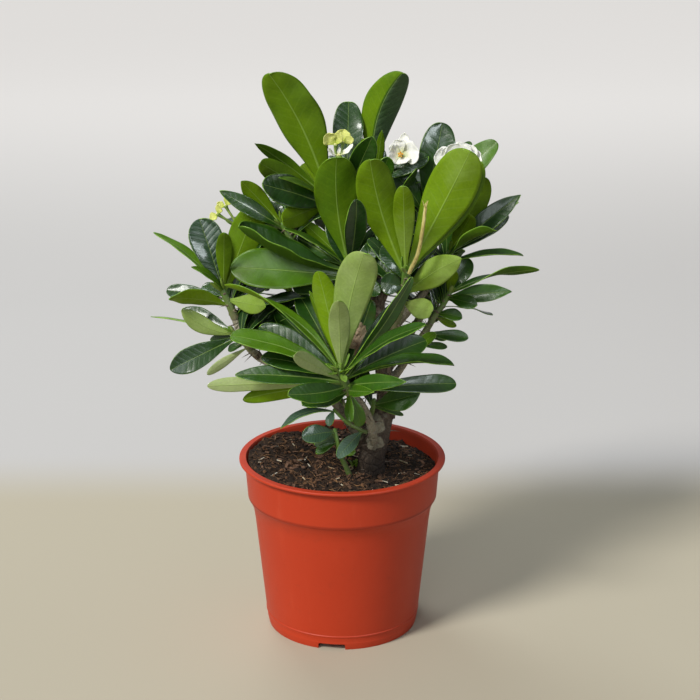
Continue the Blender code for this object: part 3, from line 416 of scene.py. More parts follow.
def pot_plastic():
    """Satin plastic with faint clouds, pits, upright scuffs and dust from the soil."""
    finish = Finish("pot_plastic", Specular_IOR_Level=0.26)
    clouds = finish.noise(22.0, 4.0)
    pits = finish.noise(2600.0, 2.0)
    upright = finish.stretched((1.0, 1.0, 0.12))
    scuffs = finish.noise(90.0, 5.0, 0.6, upright).between(0.56, 0.74)
    colour = finish.mix(clouds, (0.40, 0.032, 0.008), (0.46, 0.040, 0.010))
    colour = finish.mix(scuffs * 0.14, colour, (0.62, 0.13, 0.06))
    dust = finish.noise(160.0, 6.0, 0.65).between(0.55, 0.75) * 0.35
    colour = finish.mix(dust * 0.5, colour, (0.20, 0.030, 0.014))
    # A dark line painted round the pot where the band meets the body is painted shade in the crease
    # there.
    painted_crease_shade = 1.0 - abs(finish.place.part(2) - BAND_FOOT[1] * MM).between(0.0003, 0.0012)
    colour = finish.mix(painted_crease_shade * 0.45, colour, (0.12, 0.010, 0.004))
    finish.relief(pits * 0.5 + clouds * 0.5 + scuffs * 0.3, 0.00012)
    roughness = 0.42 + clouds * 0.1 + scuffs * 0.15
    return finish.coat(Base_Color=colour, Roughness=roughness)


pot_shape = turned(section, POT_STEPS)
pot = add_piece("pot_moulding", pot_shape, [pot_plastic()], "pot", None)

cutters = []
drains = [(0.0, 0.0)]
for index in range(DRAIN_COUNT):
    angle = 2 * math.pi * index / DRAIN_COUNT
    drains.append((DRAIN_CIRCLE * math.cos(angle), DRAIN_CIRCLE * math.sin(angle)))
for x, y in drains:
    shape = bmesh.new()
    bmesh.ops.create_cone(
        shape,
        cap_ends=True,
        segments=24,
        radius1=DRAIN_RADIUS,
        radius2=DRAIN_RADIUS,
        depth=4 * PLATE,
        matrix=Matrix.Translation((x, y, PLATE_TOP - PLATE / 2)),
    )
    cutters.append(helper("drain", shape))
for index in range(NOTCH_COUNT):
    shape = bmesh.new()
    bmesh.ops.create_cube(shape, size=1.0)
    bmesh.ops.scale(shape, vec=NOTCH_SIZE, verts=shape.verts[:])
    upright = [e for e in shape.edges if abs(e.verts[0].co.x - e.verts[1].co.x) > 1]
    bmesh.ops.bevel(
        shape,
        geom=[edge for edge in upright if edge.verts[0].co.z > 0],
        offset=NOTCH_ROUND,
        offset_type="OFFSET",
        segments=4,
        profile=0.5,
        affect="EDGES",
        material=-1,
    )
    bmesh.ops.translate(shape, vec=(FOOT_RADIUS - 1.0, 0, 0), verts=shape.verts[:])
    turn = Matrix.Rotation(NOTCH_START + 2 * math.pi * index / NOTCH_COUNT, 3, "Z")
    bmesh.ops.rotate(shape, cent=(0, 0, 0), matrix=turn, verts=shape.verts[:])
    cutters.append(helper("notch", shape))
apply_cut(pot, cutters)
pot.data.shade_smooth()
pot.data.set_sharp_from_angle(angle=POT_SHARP)


# The soil is loose potting mix: dark crumbs of every size over a lumpy bed, with tan fibres, chips
# of bark, white slivers and grains of pumice. It fills the pot to a few millimetres below the lip.
SOIL_LEVEL = 107.4
SOIL_TOP_RADIUS = 59.2
SOIL_LUMP = 1.7
SOIL_CRUMB = 0.9
SOIL_GAP = 0.4
SOIL_RINGS = 70
SOIL_STEPS = 190
CRUMB_COUNT = 1900
CRUMB_SIZE = (0.35, 1.5)
FIBRE_COUNT = 420
FIBRE_RADIUS = (0.07, 0.2)
NOISE_SEED = 13
CHIP_COUNT = 240
CHIP_LENGTH = (1.6, 5.0)
CHIP_SLIM = (0.18, 0.5)
SLIVER_COUNT = 34
SLIVER_LENGTH = (1.6, 7.0)
SLIVER_SLIM = (0.06, 0.13)


def soil_height(x, y):
    """The lumpy top of the soil: high at the left, low at the back right."""
    slope = 0.028 * max(0.0, -x) - 0.042 * x - 0.0012 * max(0.0, x) * max(0.0, y)
    lumps = noise.noise(Vector((x, y, 3.0)) * 0.11) + 0.6 * noise.noise(Vector((x, y, 9.0)) * 0.3)
    return SOIL_LEVEL + slope + SOIL_LUMP * lumps


def soil_mix(name, tone):
    """Soil whose colour runs from near black to brown with the noise and the piece's own tone."""
    finish = Finish(name, Roughness=0.95, Specular_IOR_Level=0.25)
    grains = finish.noise(900.0, 8.0, 0.7)
    colour = finish.ramp(
        grains * 0.6 + finish.noise(140.0, 4.0) * 0.4,
        (0.32, (0.004, 0.003, 0.002)),
        (0.5, (0.020, 0.011, 0.006)),
        (0.7, (0.090, 0.048, 0.024)),
    )
    if tone:
        bright = finish.ramp(
            finish.mark(tone),
            (0.0, (0.005, 0.003, 0.002)),
            (0.6, (0.045, 0.022, 0.010)),
            (1.0, (0.22, 0.105, 0.048)),
        )
        colour = finish.mix(0.6, colour, bright)
    finish.relief(grains, 0.0006)
    return finish.coat(Base_Color=colour)


def soil_bed():
    """The bed of soil down to the pot's plate, with its crumbly top worked up in fine steps."""
    steps = range(SOIL_RINGS + 1)
    top = [(SOIL_TOP_RADIUS * index / SOIL_RINGS, SOIL_LEVEL) for index in steps]
    side = [
        (BAND_FOOT[0] - POT_WALL - SOIL_GAP, BAND_FOOT[1] + 0.6),
        (SHOULDER[0] - POT_WALL - SOIL_GAP, SHOULDER[1] + 0.6),
        (FOOT_RADIUS - 1.8, PLATE_TOP + 0.6),
        (0.0, PLATE_TOP + 0.6),
    ]
    shape = turned([*top, *side], SOIL_STEPS)
    for corner in shape.verts:
        if corner.co.z > SOIL_LEVEL - 1:
            x, y = corner.co.x, corner.co.y
            crumbs = noise.fractal(Vector((x, y, 1.0)) * 0.55, 0.7, 2.2, 4)
            corner.co.z = soil_height(x, y) + SOIL_CRUMB * crumbs
    return shape


def scattered(draw, margin=1.0):
    """A random place on the top of the soil, this far or more inside its rim."""
    radius = (SOIL_TOP_RADIUS - margin) * math.sqrt(draw.random())
    angle = draw.uniform(0, 2 * math.pi)
    x, y = radius * math.cos(angle), radius * math.sin(angle)
    return Vector((x, y, soil_height(x, y)))


def crumbs(draw):
    """Crumbs of soil: small rough balls, most of them tiny."""
    shape = bmesh.new()
    tone = shape.verts.layers.float.new("tone")
    for _ in range(CRUMB_COUNT):
        size = CRUMB_SIZE[0] + CRUMB_SIZE[1] * draw.random() ** 3.2
        centre = scattered(draw) + Vector((0, 0, size * 0.35))
        axis = (draw.gauss(0, 1), draw.gauss(0, 1), draw.gauss(0, 1))
        turn = Quaternion(axis, draw.uniform(0, 6)).to_matrix().to_4x4()
        squash = Matrix.Diagonal((1.0, draw.uniform(0.6, 1.0), draw.uniform(0.45, 0.9), 1.0))
        place = Matrix.Translation(centre) @ turn @ squash
        made = bmesh.ops.create_icosphere(shape, subdivisions=1, radius=size, matrix=place)
        shade = draw.random() ** 1.6
        for corner in made["verts"]:
            bump = noise.noise(corner.co * 1.3) * 0.5
            corner.co += (corner.co - centre) * bump
            corner[tone] = shade
    return shape


crumb_draw = random.Random(3)
add_piece("soil_bed", soil_bed(), [soil_mix("soil_mix", "")], "soil", None)
crumb_mix = soil_mix("soil_crumb", "tone")
add_piece("soil_crumbs", crumbs(crumb_draw), [crumb_mix], "soil")


def strand(shape, route, radii, sides=6):
    """Adds a round strand along the route to the shape and returns its rings of corners."""
    rings = []
    side = None
    last = len(route) - 1
    for index, place in enumerate(route):
        way = (route[min(index + 1, last)] - route[max(index - 1, 0)]).normalized()
        side = way.orthogonal() if side is None else side - way * side.dot(way)
        side = side.normalized()
        across = way.cross(side)
        if len(radii) == len(route):
            radius = radii[index]
        else:
            radius = radii[0] + (radii[1] - radii[0]) * index / last
        ring = []
        for corner in range(sides):
            angle = 2 * math.pi * corner / sides
            out = side * math.cos(angle) + across * math.sin(angle)
            ring.append(shape.verts.new(place + out * radius))
        rings.append(ring)
    for low, high in zip(rings, rings[1:]):
        for corner in range(sides):
            after = (corner + 1) % sides
            shape.faces.new((low[corner], low[after], high[after], high[corner]))
    shape.faces.new(rings[0][::-1])
    shape.faces.new(rings[-1])
    return rings


def fibres(draw):
    """Fibres of coir and peat that lie on the soil, bent at random."""
    shape = bmesh.new()
    for _ in range(FIBRE_COUNT):
        start = scattered(draw, 5.0)
        bearing = draw.uniform(0, 2 * math.pi)
        route = [start + Vector((0, 0, 0.6))]
        for _ in range(draw.randint(3, 6)):
            bearing += draw.uniform(-0.6, 0.6)
            step = Vector((math.cos(bearing), math.sin(bearing), 0)) * draw.uniform(0.8, 2.2)
            place = route[-1] + step
            if place.xy.length > SOIL_TOP_RADIUS - 1.5:
                break
            place.z = soil_height(place.x, place.y) + draw.uniform(0.4, 1.8)
            route.append(place)
        if len(route) > 2:
            thick = draw.uniform(*FIBRE_RADIUS)
            strand(shape, route, (thick, thick * 0.5), 5)
    return shape


def chips(draw, count, size, slim):
    """Flat slivers that lie tilted on the soil."""
    shape = bmesh.new()
    for _ in range(count):
        centre = scattered(draw, 4.0) + Vector((0, 0, 0.9))
        tilt = Quaternion((draw.gauss(0, 1), draw.gauss(0, 1), 0.2), draw.uniform(-0.6, 0.6))
        turn = tilt @ Quaternion((0, 0, 1), draw.uniform(0, 6.3))
        length = draw.uniform(*size)
        slab = Matrix.Diagonal((length, length * draw.uniform(*slim), draw.uniform(0.2, 0.5), 1))
        place = Matrix.Translation(centre) @ turn.to_matrix().to_4x4() @ slab
        made = bmesh.ops.create_cube(shape, size=1.0, matrix=place)
        for corner in made["verts"]:
            corner.co += 0.12 * length * noise.noise_vector(corner.co * 0.9)
    return shape


def plain_finish(name, first, second, scale, roughness=0.8):
    """A dull finish that runs between two colours with the noise and has a fine grain."""
    finish = Finish(name, Specular_IOR_Level=0.3, Roughness=roughness)
    clouds = finish.noise(scale, 5.0, 0.6)
    colour = finish.mix(clouds.between(0.35, 0.65), first, second)
    finish.relief(clouds, 0.0001)
    return finish.coat(Base_Color=colour)


# Without a seed the noise vectors would start from the clock and differ each time.
noise.seed_set(NOISE_SEED)
litter_draw = random.Random(5)
coir = plain_finish("coir", (0.045, 0.019, 0.008), (0.30, 0.155, 0.065), 160.0)
bark_chip = plain_finish("bark_chip", (0.055, 0.026, 0.014), (0.17, 0.09, 0.05), 260.0)
pumice = plain_finish("pumice", (0.42, 0.33, 0.19), (0.66, 0.62, 0.52), 130.0)
bits = fibres(litter_draw)
add_piece("soil_fibres", bits, [coir], "soil")
bits = chips(litter_draw, CHIP_COUNT, CHIP_LENGTH, CHIP_SLIM)
add_piece("soil_chips", bits, [bark_chip], "soil")
bits = chips(litter_draw, SLIVER_COUNT, SLIVER_LENGTH, SLIVER_SLIM)
add_piece("soil_slivers", bits, [pumice], "soil")


# The plant is laid out as it is seen from the front. A place is given by how far it looks to be
# across and up on the upright plane through the pot's axis, and how far it stands toward the eye.
# Each leaf gives its tip, how far down the stem it grows, its form, and its tone: -1 is grey, 0
# dark, 1 bright and 2 pale. The tone is partly the leaf's own colour and partly painted light and
# shade: leaves in shade get dark tones, lit leaves bright ones, and a few greyish tones are a
# painted sheen.
Leaf = namedtuple(
    "Leaf",
    "across up toward down width turn bow tone sweep fold twist belly point",
    defaults=(3, 0, 12, 0, 0.68, 0.5),
)
Blade = namedtuple("Blade", "width bow fold belly point sweep twist", defaults=(0, 0))
Shoot = namedtuple("Shoot", "name girth fill stem leaves")
Spray = namedtuple("Spray", "name stem girth length rise count")
Branch = namedtuple("Branch", "route girth")
Stalk = namedtuple("Stalk", "owner route girth")
Bract = namedtuple("Bract", "across up toward width belly point", defaults=(0.58, 0.5))
Bloom = namedtuple("Bloom", "name colour girth facing stem bracts")


def oval(*form, **more):
    """A leaf whose tip is broad and round."""
    return Leaf(*form, **more, point=0.42)


SHOOTS = [
    Shoot("shoot_front", 3.2, 0, [(6, 152, 40), (2, 159, 45), (-1, 168, 49)], [
        Leaf(13.6, 244.4, 62, 1, 23.5, 175, 4, 1.4, sweep=3, belly=0.75, point=0.38),
        Leaf(-2, 214, 70, 0, 13, 180, 3, 1.6, belly=0.6),
        Leaf(43, 229, 34, 3, 10.5, 40, 4, 0.3, belly=0.6),
        Leaf(52, 198, 66, 5, 14, -66, 5, 0.3, belly=0.6),
        Leaf(69.5, 172, 58, 8, 17, -70, 6, 0.4, fold=22),
        Leaf(71, 160, 22, 16, 12, -15, 3, 0.35, belly=0.8, point=0.45),
        Leaf(40, 161, 78, 12, 10.5, -15, 3, 0.5, belly=0.52, point=0.9),
        Leaf(19.9, 154.4, 84, 16, 7.5, -10, 3, 0.6, sweep=0.8, belly=0.52, point=0.9),
        Leaf(-34, 152.5, 80, 12, 14, 20, 3, 0.35, sweep=-3, belly=0.6),
        Leaf(-25, 145.8, 62, 17, 14, 45, 1, 0.3, sweep=-3),
        Leaf(-62, 149.2, 32, 14, 11, 170, 2, 0.9, sweep=-2.5),
        Leaf(-66.5, 165.5, 48, 9, 13, 25, 4, 0.3, belly=0.6, point=0.7),
        Leaf(-84, 158.4, 38, 10, 9.5, 165, 3, 1.75, belly=0.8),
        Leaf(-50, 177, 34, 6, 15, 35, 4, 0.2),
        Leaf(-69, 191, 48, 5, 15, 40, 7, 0.8, belly=0.8, point=0.42),
        Leaf(-29.5, 179, 76, 8, 9.5, 180, 2, 1.85, belly=0.75),
        Leaf(-51, 197, 24, 3, 16, 20, 4, 0.1),
        Leaf(-72, 224, 42, 2, 14, 5, 6, 0.9, sweep=8, twist=115),
        oval(-14.7, 232.6, 36, 1, 15, 165, 3, 1.0),
        Leaf(-20, 220, 30, 3, 6, 150, 2, 0.6, belly=0.6),
        Leaf(52, 188, 30, 6, 18, -25, 3, 0.2),
        Leaf(11.9, 131.7, 38, 17, 9, -8, 2, 0.6),
        Leaf(5.6, 134.5, 34, 18, 6.5, 30, 1, 0.7),
        oval(34, 212, 8, 9, 11, -12, 2, 0.2),
        oval(18, 214, 22, 8, 12, 5, 2, 0.25),
        oval(-26, 217, 4, 8, 16, 12, 4, 0.1),
        oval(-40, 207, 2, 9, 15, 16, 4, 0.1),
        oval(-12, 202, 6, 10, 14, 8, 3, 0.05),
    ]),
    Shoot("shoot_left", 2.8, 1, [(-66, 203, 8), (-69, 211, 9), (-73, 220, 10)], [
        # This leaf's greyish tone is partly a painted sheen on its glossy upper side.
        Leaf(-86.5, 265.5, 2, 1, 21, 4, 3, -0.35, belly=0.75, point=0.45),
        Leaf(-71.5, 257, 18, 1, 10, 180, 2, 0.7),
        Leaf(-114.5, 257, 4, 3, 11, 62, 4, 0.9, fold=15, belly=0.6, point=0.9),
        Leaf(-92, 235.5, 16, 2, 8, 62, 3, 0.8, belly=0.6, point=0.9),
        Leaf(-107.4, 220.6, -4, 6, 11, 25, 0, 0.2, belly=0.7, point=0.42),
        Leaf(-106.4, 215, 32, 11, 14, 135, 3, 1.0, fold=15, belly=0.55, point=0.8),
        Leaf(-85.7, 222.8, -6, 4, 10, 28, 1, 0.1),
        Leaf(-47, 210, 30, 6, 12, 180, 2, 1.2, belly=0.55, point=0.8),
        Leaf(-55, 203, -4, 13, 10, 15, 2, 0.4),
        Leaf(-52, 273, -4, 1, 21, 178, 3, 0.8, point=0.45),
    ]),
    Shoot("shoot_lower_left", 2.2, 1,
        [(-57, 182.5, 14), (-59, 185, 15.6), (-61.5, 188.5, 17), (-66, 193, 18)], [
        Leaf(-98.8, 207.8, 22, 1, 11, 172, 1, 1.4, sweep=3.5, point=0.8),
        Leaf(-98.4, 208.2, 8, 1, 12, 15, 1, 0.2, point=0.7),
        Leaf(-117.9, 203.6, 0, 3, 5.5, 78, 1.5, 1.5, belly=0.6, point=0.9),
        Leaf(-106.8, 168.9, 34, 3, 15.5, 3, 3, 0.1, belly=0.72, point=0.6),
        Leaf(-81.5, 189, 2, 4, 5, 20, 1, 0.2),
        Leaf(-70.6, 182, 12, 10, 5.5, 30, 1, 0.3),
        Leaf(-84, 166, 16, 13, 6, 165, 2, 1.95),
    ]),
    Shoot("shoot_right", 2.3, 1,
        [(43, 181, -3), (52, 195, -2), (57, 204, -2), (62, 211, -2), (66, 219, -1)], [
        Leaf(83, 210.9, 12, 4, 9, -15, 2, 0.4),
        Leaf(104, 219.8, 10, 3, 11.5, -10, 2, 0.5, belly=0.55, point=0.9),
        Leaf(120.6, 233.5, -8, 1, 13, -32, 7, 0.3, twist=-120, belly=0.5, point=0.9),
        Leaf(68, 233, 8, 2, 8, 180, 2, 0.8),
        Leaf(77.5, 240.6, -10, 1, 13, -5, 2, 0.5),
        Leaf(74, 203, 4, 16, 8.5, -25, 2, 0.5),
        Leaf(70.5, 197.5, -10, 18, 5, 170, 1, 0.8),
        Leaf(78, 190, 3, 32, 8, -20, 2, 0.4, belly=0.76),
        Leaf(65, 190, -8, 32, 6.5, -20, 1, 0.4),
        Leaf(65, 184, -10, 40, 5, -20, 1, 0.5),
        oval(60, 208, -24, 26, 12, -10, 2, 0.2),
        Leaf(58, 193, 6, 44, 7, -10, 1, 0.8),
    ]),
    Shoot("shoot_right_upper", 2.5, 1, [(54, 224, -8), (61, 235, -7), (66, 245, -6)], [
        Leaf(78.1, 267.8, 10, 2, 12.5, 180, 2, 1.0),
        Leaf(108, 280.5, -8, 1, 14, -15, 3, 0.15, belly=0.58, point=0.9),
        Leaf(107, 276, -18, 2, 6, -60, 2, 0.9, belly=0.58, point=0.9),
        Leaf(100.5, 268, -26, 3, 12, -20, 2, 0.15),
        Leaf(91.9, 258.8, 14, 4, 17, -38, 3, 0.4, fold=20, twist=-100),
        Leaf(92, 268.5, -12, 3, 10, -60, 3, 0.2, belly=0.6, point=0.8),
        Leaf(110.5, 242.5, -10, 9, 9, -62, 8, 0.5, sweep=9, fold=25, belly=0.6),
        Leaf(87, 291, -12, 1, 16, 176, 3, 0.9),
    ]),
    Shoot("shoot_centre", 3.0, 1, [(32, 196, 5), (37, 214, 14), (39, 232, 25)], [
        oval(17, 302, 40, 2, 24, 176, 4, 0.85, sweep=3),
        Leaf(37, 286, 46, 1, 13, 180, 3, 1.05, point=0.45),
        Leaf(77, 307.5, 36, 1, 30, 184, 4, 1.0, sweep=-1, belly=0.72, point=0.4),
        Leaf(83.5, 301, 16, 2, 22, 168, 3, 0.7),
        Leaf(72.7, 240.6, 38, 19, 17.5, 172, 3, 1.2, sweep=2.2, belly=0.5, point=0.8),
        Leaf(55.5, 207, 34, 25, 13, 176, 2, 1.3, belly=0.52),
        oval(20, 270, -2, 8, 12, 10, 2, 0.2),
        oval(31, 262, -6, 11, 12, -8, 2, 0.15),
        Leaf(13, 246, 0, 16, 11, 15, 2, 0.2),
        Leaf(25, 238, -4, 22, 10, 5, 2, 0.1),
        oval(56, 262, 0, 9, 11, -15, 2, 0.4),
        oval(26, 250, 8, 7, 14, 5, 3, 0.1),
        oval(24, 226, -14, 12, 14, 0, 2, 0.05),
        oval(58, 232, -6, 16, 12, -10, 2, 0.15),
    ]),
    Shoot("shoot_centre_left", 2.9, 1, [(10, 212, 2), (6, 225, 7), (4, 238, 12)], [
        oval(-3, 303.5, 22, 1, 27, 180, 4, 0.6, sweep=3),
        Leaf(9, 277.5, 40, 2, 14, 20, 3, 0.05),
        Leaf(-35, 259.5, 26, 4, 12, 78, 2, 0.6, belly=0.6, point=0.8),
        Leaf(-62.8, 260.6, 24, 6, 30, 70, -7, 0.25, fold=38, belly=0.62, point=0.5),
        Leaf(-52, 267, 0, 3, 24, 10, 3, 0.35, point=0.45),
        Leaf(-68, 235, 2, 11, 26, 15, 4, 0.8),
        Leaf(-24, 264, 2, 3, 9, 160, 2, 0.6),
        oval(23, 218, 22, 12, 11, -20, 2, 0.2),
        oval(-11, 208, 22, 16, 11, 20, 2, 0.15),
        oval(-30, 222, 10, 13, 12, 12, 3, 0.2),
        oval(24, 252, 2, 9, 11, -15, 2, 0.2),
        oval(-6, 268, -10, 8, 15, 5, 3, 0.1),
        oval(-24, 246, -6, 10, 15, 8, 3, 0.15),
    ]),
    Shoot("shoot_left_upper", 2.4, 1, [(-22, 236, 0), (-29, 249, 2), (-36, 262, 3)], [
        Leaf(-60.5, 289, 10, 1, 11.5, 172, 2, 0.85, point=0.8),
        Leaf(-73.7, 283, -12, 3, 10.5, 12, 2, 0.2, belly=0.58, point=0.8),
        Leaf(-75, 242.5, 24, 14, 13, 176, 2, 0.8, sweep=3, belly=0.6),
        oval(-44, 276, -8, 4, 12, 12, 2, 0.2),
        oval(-28, 282, -14, 6, 11, 8, 2, 0.15),
        oval(-50, 234, -8, 14, 14, 10, 2, 0.15),
    ]),
    Shoot("shoot_upper_left", 2.9, 1, [(-3, 262, -14), (-6.5, 272, -12), (-9, 281, -10)], [
        Leaf(-43, 354, 2, 1, 30, 165, 4, 0.75, sweep=-3, fold=20, belly=0.6, point=0.42),
        Leaf(-44, 341, -24, 1, 13, 15, 3, 0.1, sweep=6),
        Leaf(-52, 312, 6, 3, 9.5, 150, 8, 0.5, sweep=3, belly=0.58, point=0.9),
        Leaf(-49, 300, 14, 5, 14, 184, 3, 0.7, point=0.4),
        oval(-48, 287, 20, 9, 20, 20, 3, 0.1),
        Leaf(-38, 291, 24, 6, 8, 70, 2, 1.0, fold=25, belly=0.6, point=0.9),
        oval(-24, 299, 10, 4, 17, 184, 2, 1.0),
        Leaf(-36, 264, 26, 6, 15, 170, 2, 0.95, belly=0.62),
    ]),
    Shoot("shoot_top_middle", 2.7, 1, [(5, 262, -18), (3.5, 273, -12), (2, 284, -8)], [
        Leaf(4, 337, -28, 1, 19, 4, 3, 0.15, point=0.38),
        Leaf(11, 326, 0, 1, 9, 176, 2, 0.8, belly=0.58, point=0.9),
        Leaf(9.5, 308.5, 6, 3, 7, 176, 2, 0.7, belly=0.58, point=0.9),
        Leaf(18, 316, -14, 2, 15, 10, 3, 0.3),
    ]),
    Shoot("shoot_top_right", 2.9, 1, [(22, 262, -20), (22, 276, -20), (20, 290, -19)], [
        # This folded leaf has two tones, and the half with the greyer one carries a painted sheen.
        Leaf(36, 354.5, -10, 1, 28, 180, 4, (-0.45, 0.75), sweep=8, fold=38, belly=0.66),
        Leaf(13.5, 315, -4, 2, 9, 170, 2, 0.7),
        Leaf(24, 320, -8, 1, 6, 176, 2, 0.7, belly=0.58, point=0.9),
        Leaf(28, 304, -6, 4, 12, 10, 2, 0.5),
        Leaf(52, 304, -8, 3, 14, -30, 3, 0.2),
        Leaf(45, 297, -4, 22, 7, 60, 2, 0.3),
    ]),
    Shoot("shoot_right_top", 2.7, 1, [(42, 250, -24), (48, 261, -24), (50, 272, -23)], [
        oval(60, 324.5, -28, 1, 22, 4, 3, 0.15),
        oval(92.5, 313, -24, 2, 17, -20, 2, 0.75),
        Leaf(29, 296, -12, 3, 17, 30, 3, 0.3),
        Leaf(77, 313, -34, 2, 11, -10, 2, 0.5),
        Leaf(88, 272.8, -16, 12, 12, -35, 5, 0.2),
    ]),
    Shoot("shoot_low_right", 1.9, 1, [(17, 138, 16), (19, 143, 20), (20, 149, 23)], [
        Leaf(48.5, 153.5, 40, 4, 16, -12, 2, 0.5, sweep=0.8, point=0.8),
        Leaf(38.3, 139, 14, 6, 4, -30, 1, 0.6),
    ]),
]

# Young shoots low on the plant: one on the front branch and one that rises out of the soil
SPROUTS = [
    Shoot("sprout_on_branch", 1.4, 0,
        [(15, 127.5, 25), (10, 130, 29), (3, 134, 31), (-5, 142.5, 31)], [
        Leaf(-39, 129.8, 36, 2, 8, 55, 6, -1.0, belly=0.6, point=0.8),
        Leaf(-8.3, 131.7, 38, 0, 6, 30, 1, -1.0),
        Leaf(-3, 110.3, 44, 24, 9.5, 10, 2, -1.0, belly=0.6),
    ]),
    Shoot("sprout_in_soil", 1.9, 0,
        [(5.5, 88, 21), (5.2, 96.3, 23), (1.9, 105.2, 26), (-0.8, 110.9, 28), (-2.5, 117.8, 30),
            (-4.5, 129, 29)], [
        Leaf(-25.1, 124.1, 42, 1, 12, 15, 2, -0.6, point=0.45),
        Leaf(-17.2, 119, 28, 4, 13, 170, 2, -0.8, belly=0.6),
        Leaf(-16.6, 113.5, 34, 8, 6, 20, 2, 0.5),
        Leaf(8.5, 114.5, 30, 15, 4.5, 20, 1, 1.0),
    ]),
]

# The shoots on the far side, whose leaves follow the rule of the spiral all the way round
SPRAYS = [
    Spray("shoot_back_left", [(-22, 206, -40), (-30, 216, -46), (-36, 228, -50)], 2.8, 53, 70, 10),
    Spray("shoot_back_top", [(10, 226, -40), (6, 240, -48), (3, 254, -52)], 2.8, 51, 74, 9),
    Spray("shoot_back_right", [(44, 196, -38), (50, 207, -44), (54, 220, -48)], 2.8, 52, 70, 10),
    Spray("shoot_back_low", [(2, 142, -30), (-2, 150, -38), (-5, 160, -44)], 2.8, 48, 66, 8),
]

# Each branch runs from inside its parent to just short of the shoot that it carries
TRUNK = Branch([(18, 76, 14), (18, 98, 14), (19, 112, 14), (23, 128, 10), (26, 142, 5)], (9.4, 6.5))
BRANCHES = [
    Branch(
        [(18, 114, 16), (19.5, 124, 23), (17, 136, 29), (11, 147, 36), (6, 152, 40)],
        (3.0, 2.7),
    ),
    Branch([(26, 138, 6), (27, 154, 3), (25, 172, -1), (23, 192, -6), (22, 214, -11)], (6.0, 3.6)),
    Branch([(22, 208, -10), (21, 226, -14), (21, 245, -18), (22, 262, -20)], (3.6, 2.9)),
    Branch([(22, 212, -10), (31, 230, -17), (42, 250, -24)], (3.2, 2.7)),
    Branch([(23, 186, -4), (38, 204, -8), (54, 224, -8)], (3.0, 2.5)),
    Branch([(25, 168, 0), (30, 182, 2), (32, 196, 5)], (3.4, 3.0)),
    Branch([(24, 178, -2), (16, 196, 0), (10, 212, 2)], (3.4, 2.9)),
    Branch([(21, 222, -13), (9, 242, -16), (-3, 262, -14)], (3.1, 2.8)),
    Branch([(21, 236, -16), (14, 249, -19), (5, 262, -18)], (3.0, 2.7)),
    Branch([(22, 198, -7), (5, 214, -7), (-10, 226, -4), (-22, 236, 0)], (3.0, 2.4)),
    Branch([(26, 156, 2), (35, 168, -3), (43, 181, -3)], (3.0, 2.3)),
    Branch([(21, 126, 12), (19, 133, 15), (17, 138, 16)], (2.4, 2.0)),
    Branch(
        [(15, 118, 12), (7, 130, 12), (0, 141, 12), (-12, 156, 12), (-28, 166, 10), (-42, 172, 8)],
        (3.2, 2.4),
    ),
    Branch([(-38, 170, 8), (-50, 176, 8), (-58, 184, 8), (-63, 194, 8), (-66, 203, 8)], (2.4, 2.5)),
    Branch([(-52, 178, 8), (-57, 182.5, 14)], (2.3, 2.2)),
    Branch([(23, 184, -4), (6, 192, -22), (-10, 199, -33), (-22, 206, -40)], (3.2, 2.6)),
    Branch([(22, 204, -9), (17, 213, -26), (10, 226, -40)], (3.2, 2.6)),
    Branch([(25, 166, 0), (34, 178, -20), (44, 196, -38)], (3.2, 2.6)),
    Branch([(21, 122, 10), (12, 132, -12), (2, 142, -30)], (3.4, 2.6)),
]

# Green stalks that grow from a shoot and carry blooms
STALKS = [
    Stalk("shoot_top_middle", [(2, 282, -8.5), (0.5, 292, -5), (-1.9, 302.4, -1.6)], (1.3, 1.0)),
    Stalk(
        "shoot_left_upper",
        [(-35, 260, 2), (-45, 261, -4), (-55, 261, -8), (-64, 262, -8)],
        (1.2, 1.0),
    ),
    Stalk("shoot_top_right", [(20.5, 288, -19), (27, 297, -16), (33, 301, -14)], (1.3, 1.0)),
    Stalk("shoot_right_top", [(50, 270, -23), (60, 286, -12), (69, 297, -3)], (1.3, 1.0)),
    Stalk("shoot_front", [(-1, 166, 48), (4, 172, 44), (7.6, 177.8, 40)], (1.3, 1.0)),
    Stalk("shoot_back_left", [(-36, 226, -50), (-42, 242, -56), (-44, 256, -58)], (1.3, 1.0)),
    Stalk("shoot_back_right", [(54, 218, -48), (58, 235, -54), (60, 248, -56)], (1.3, 1.0)),
]

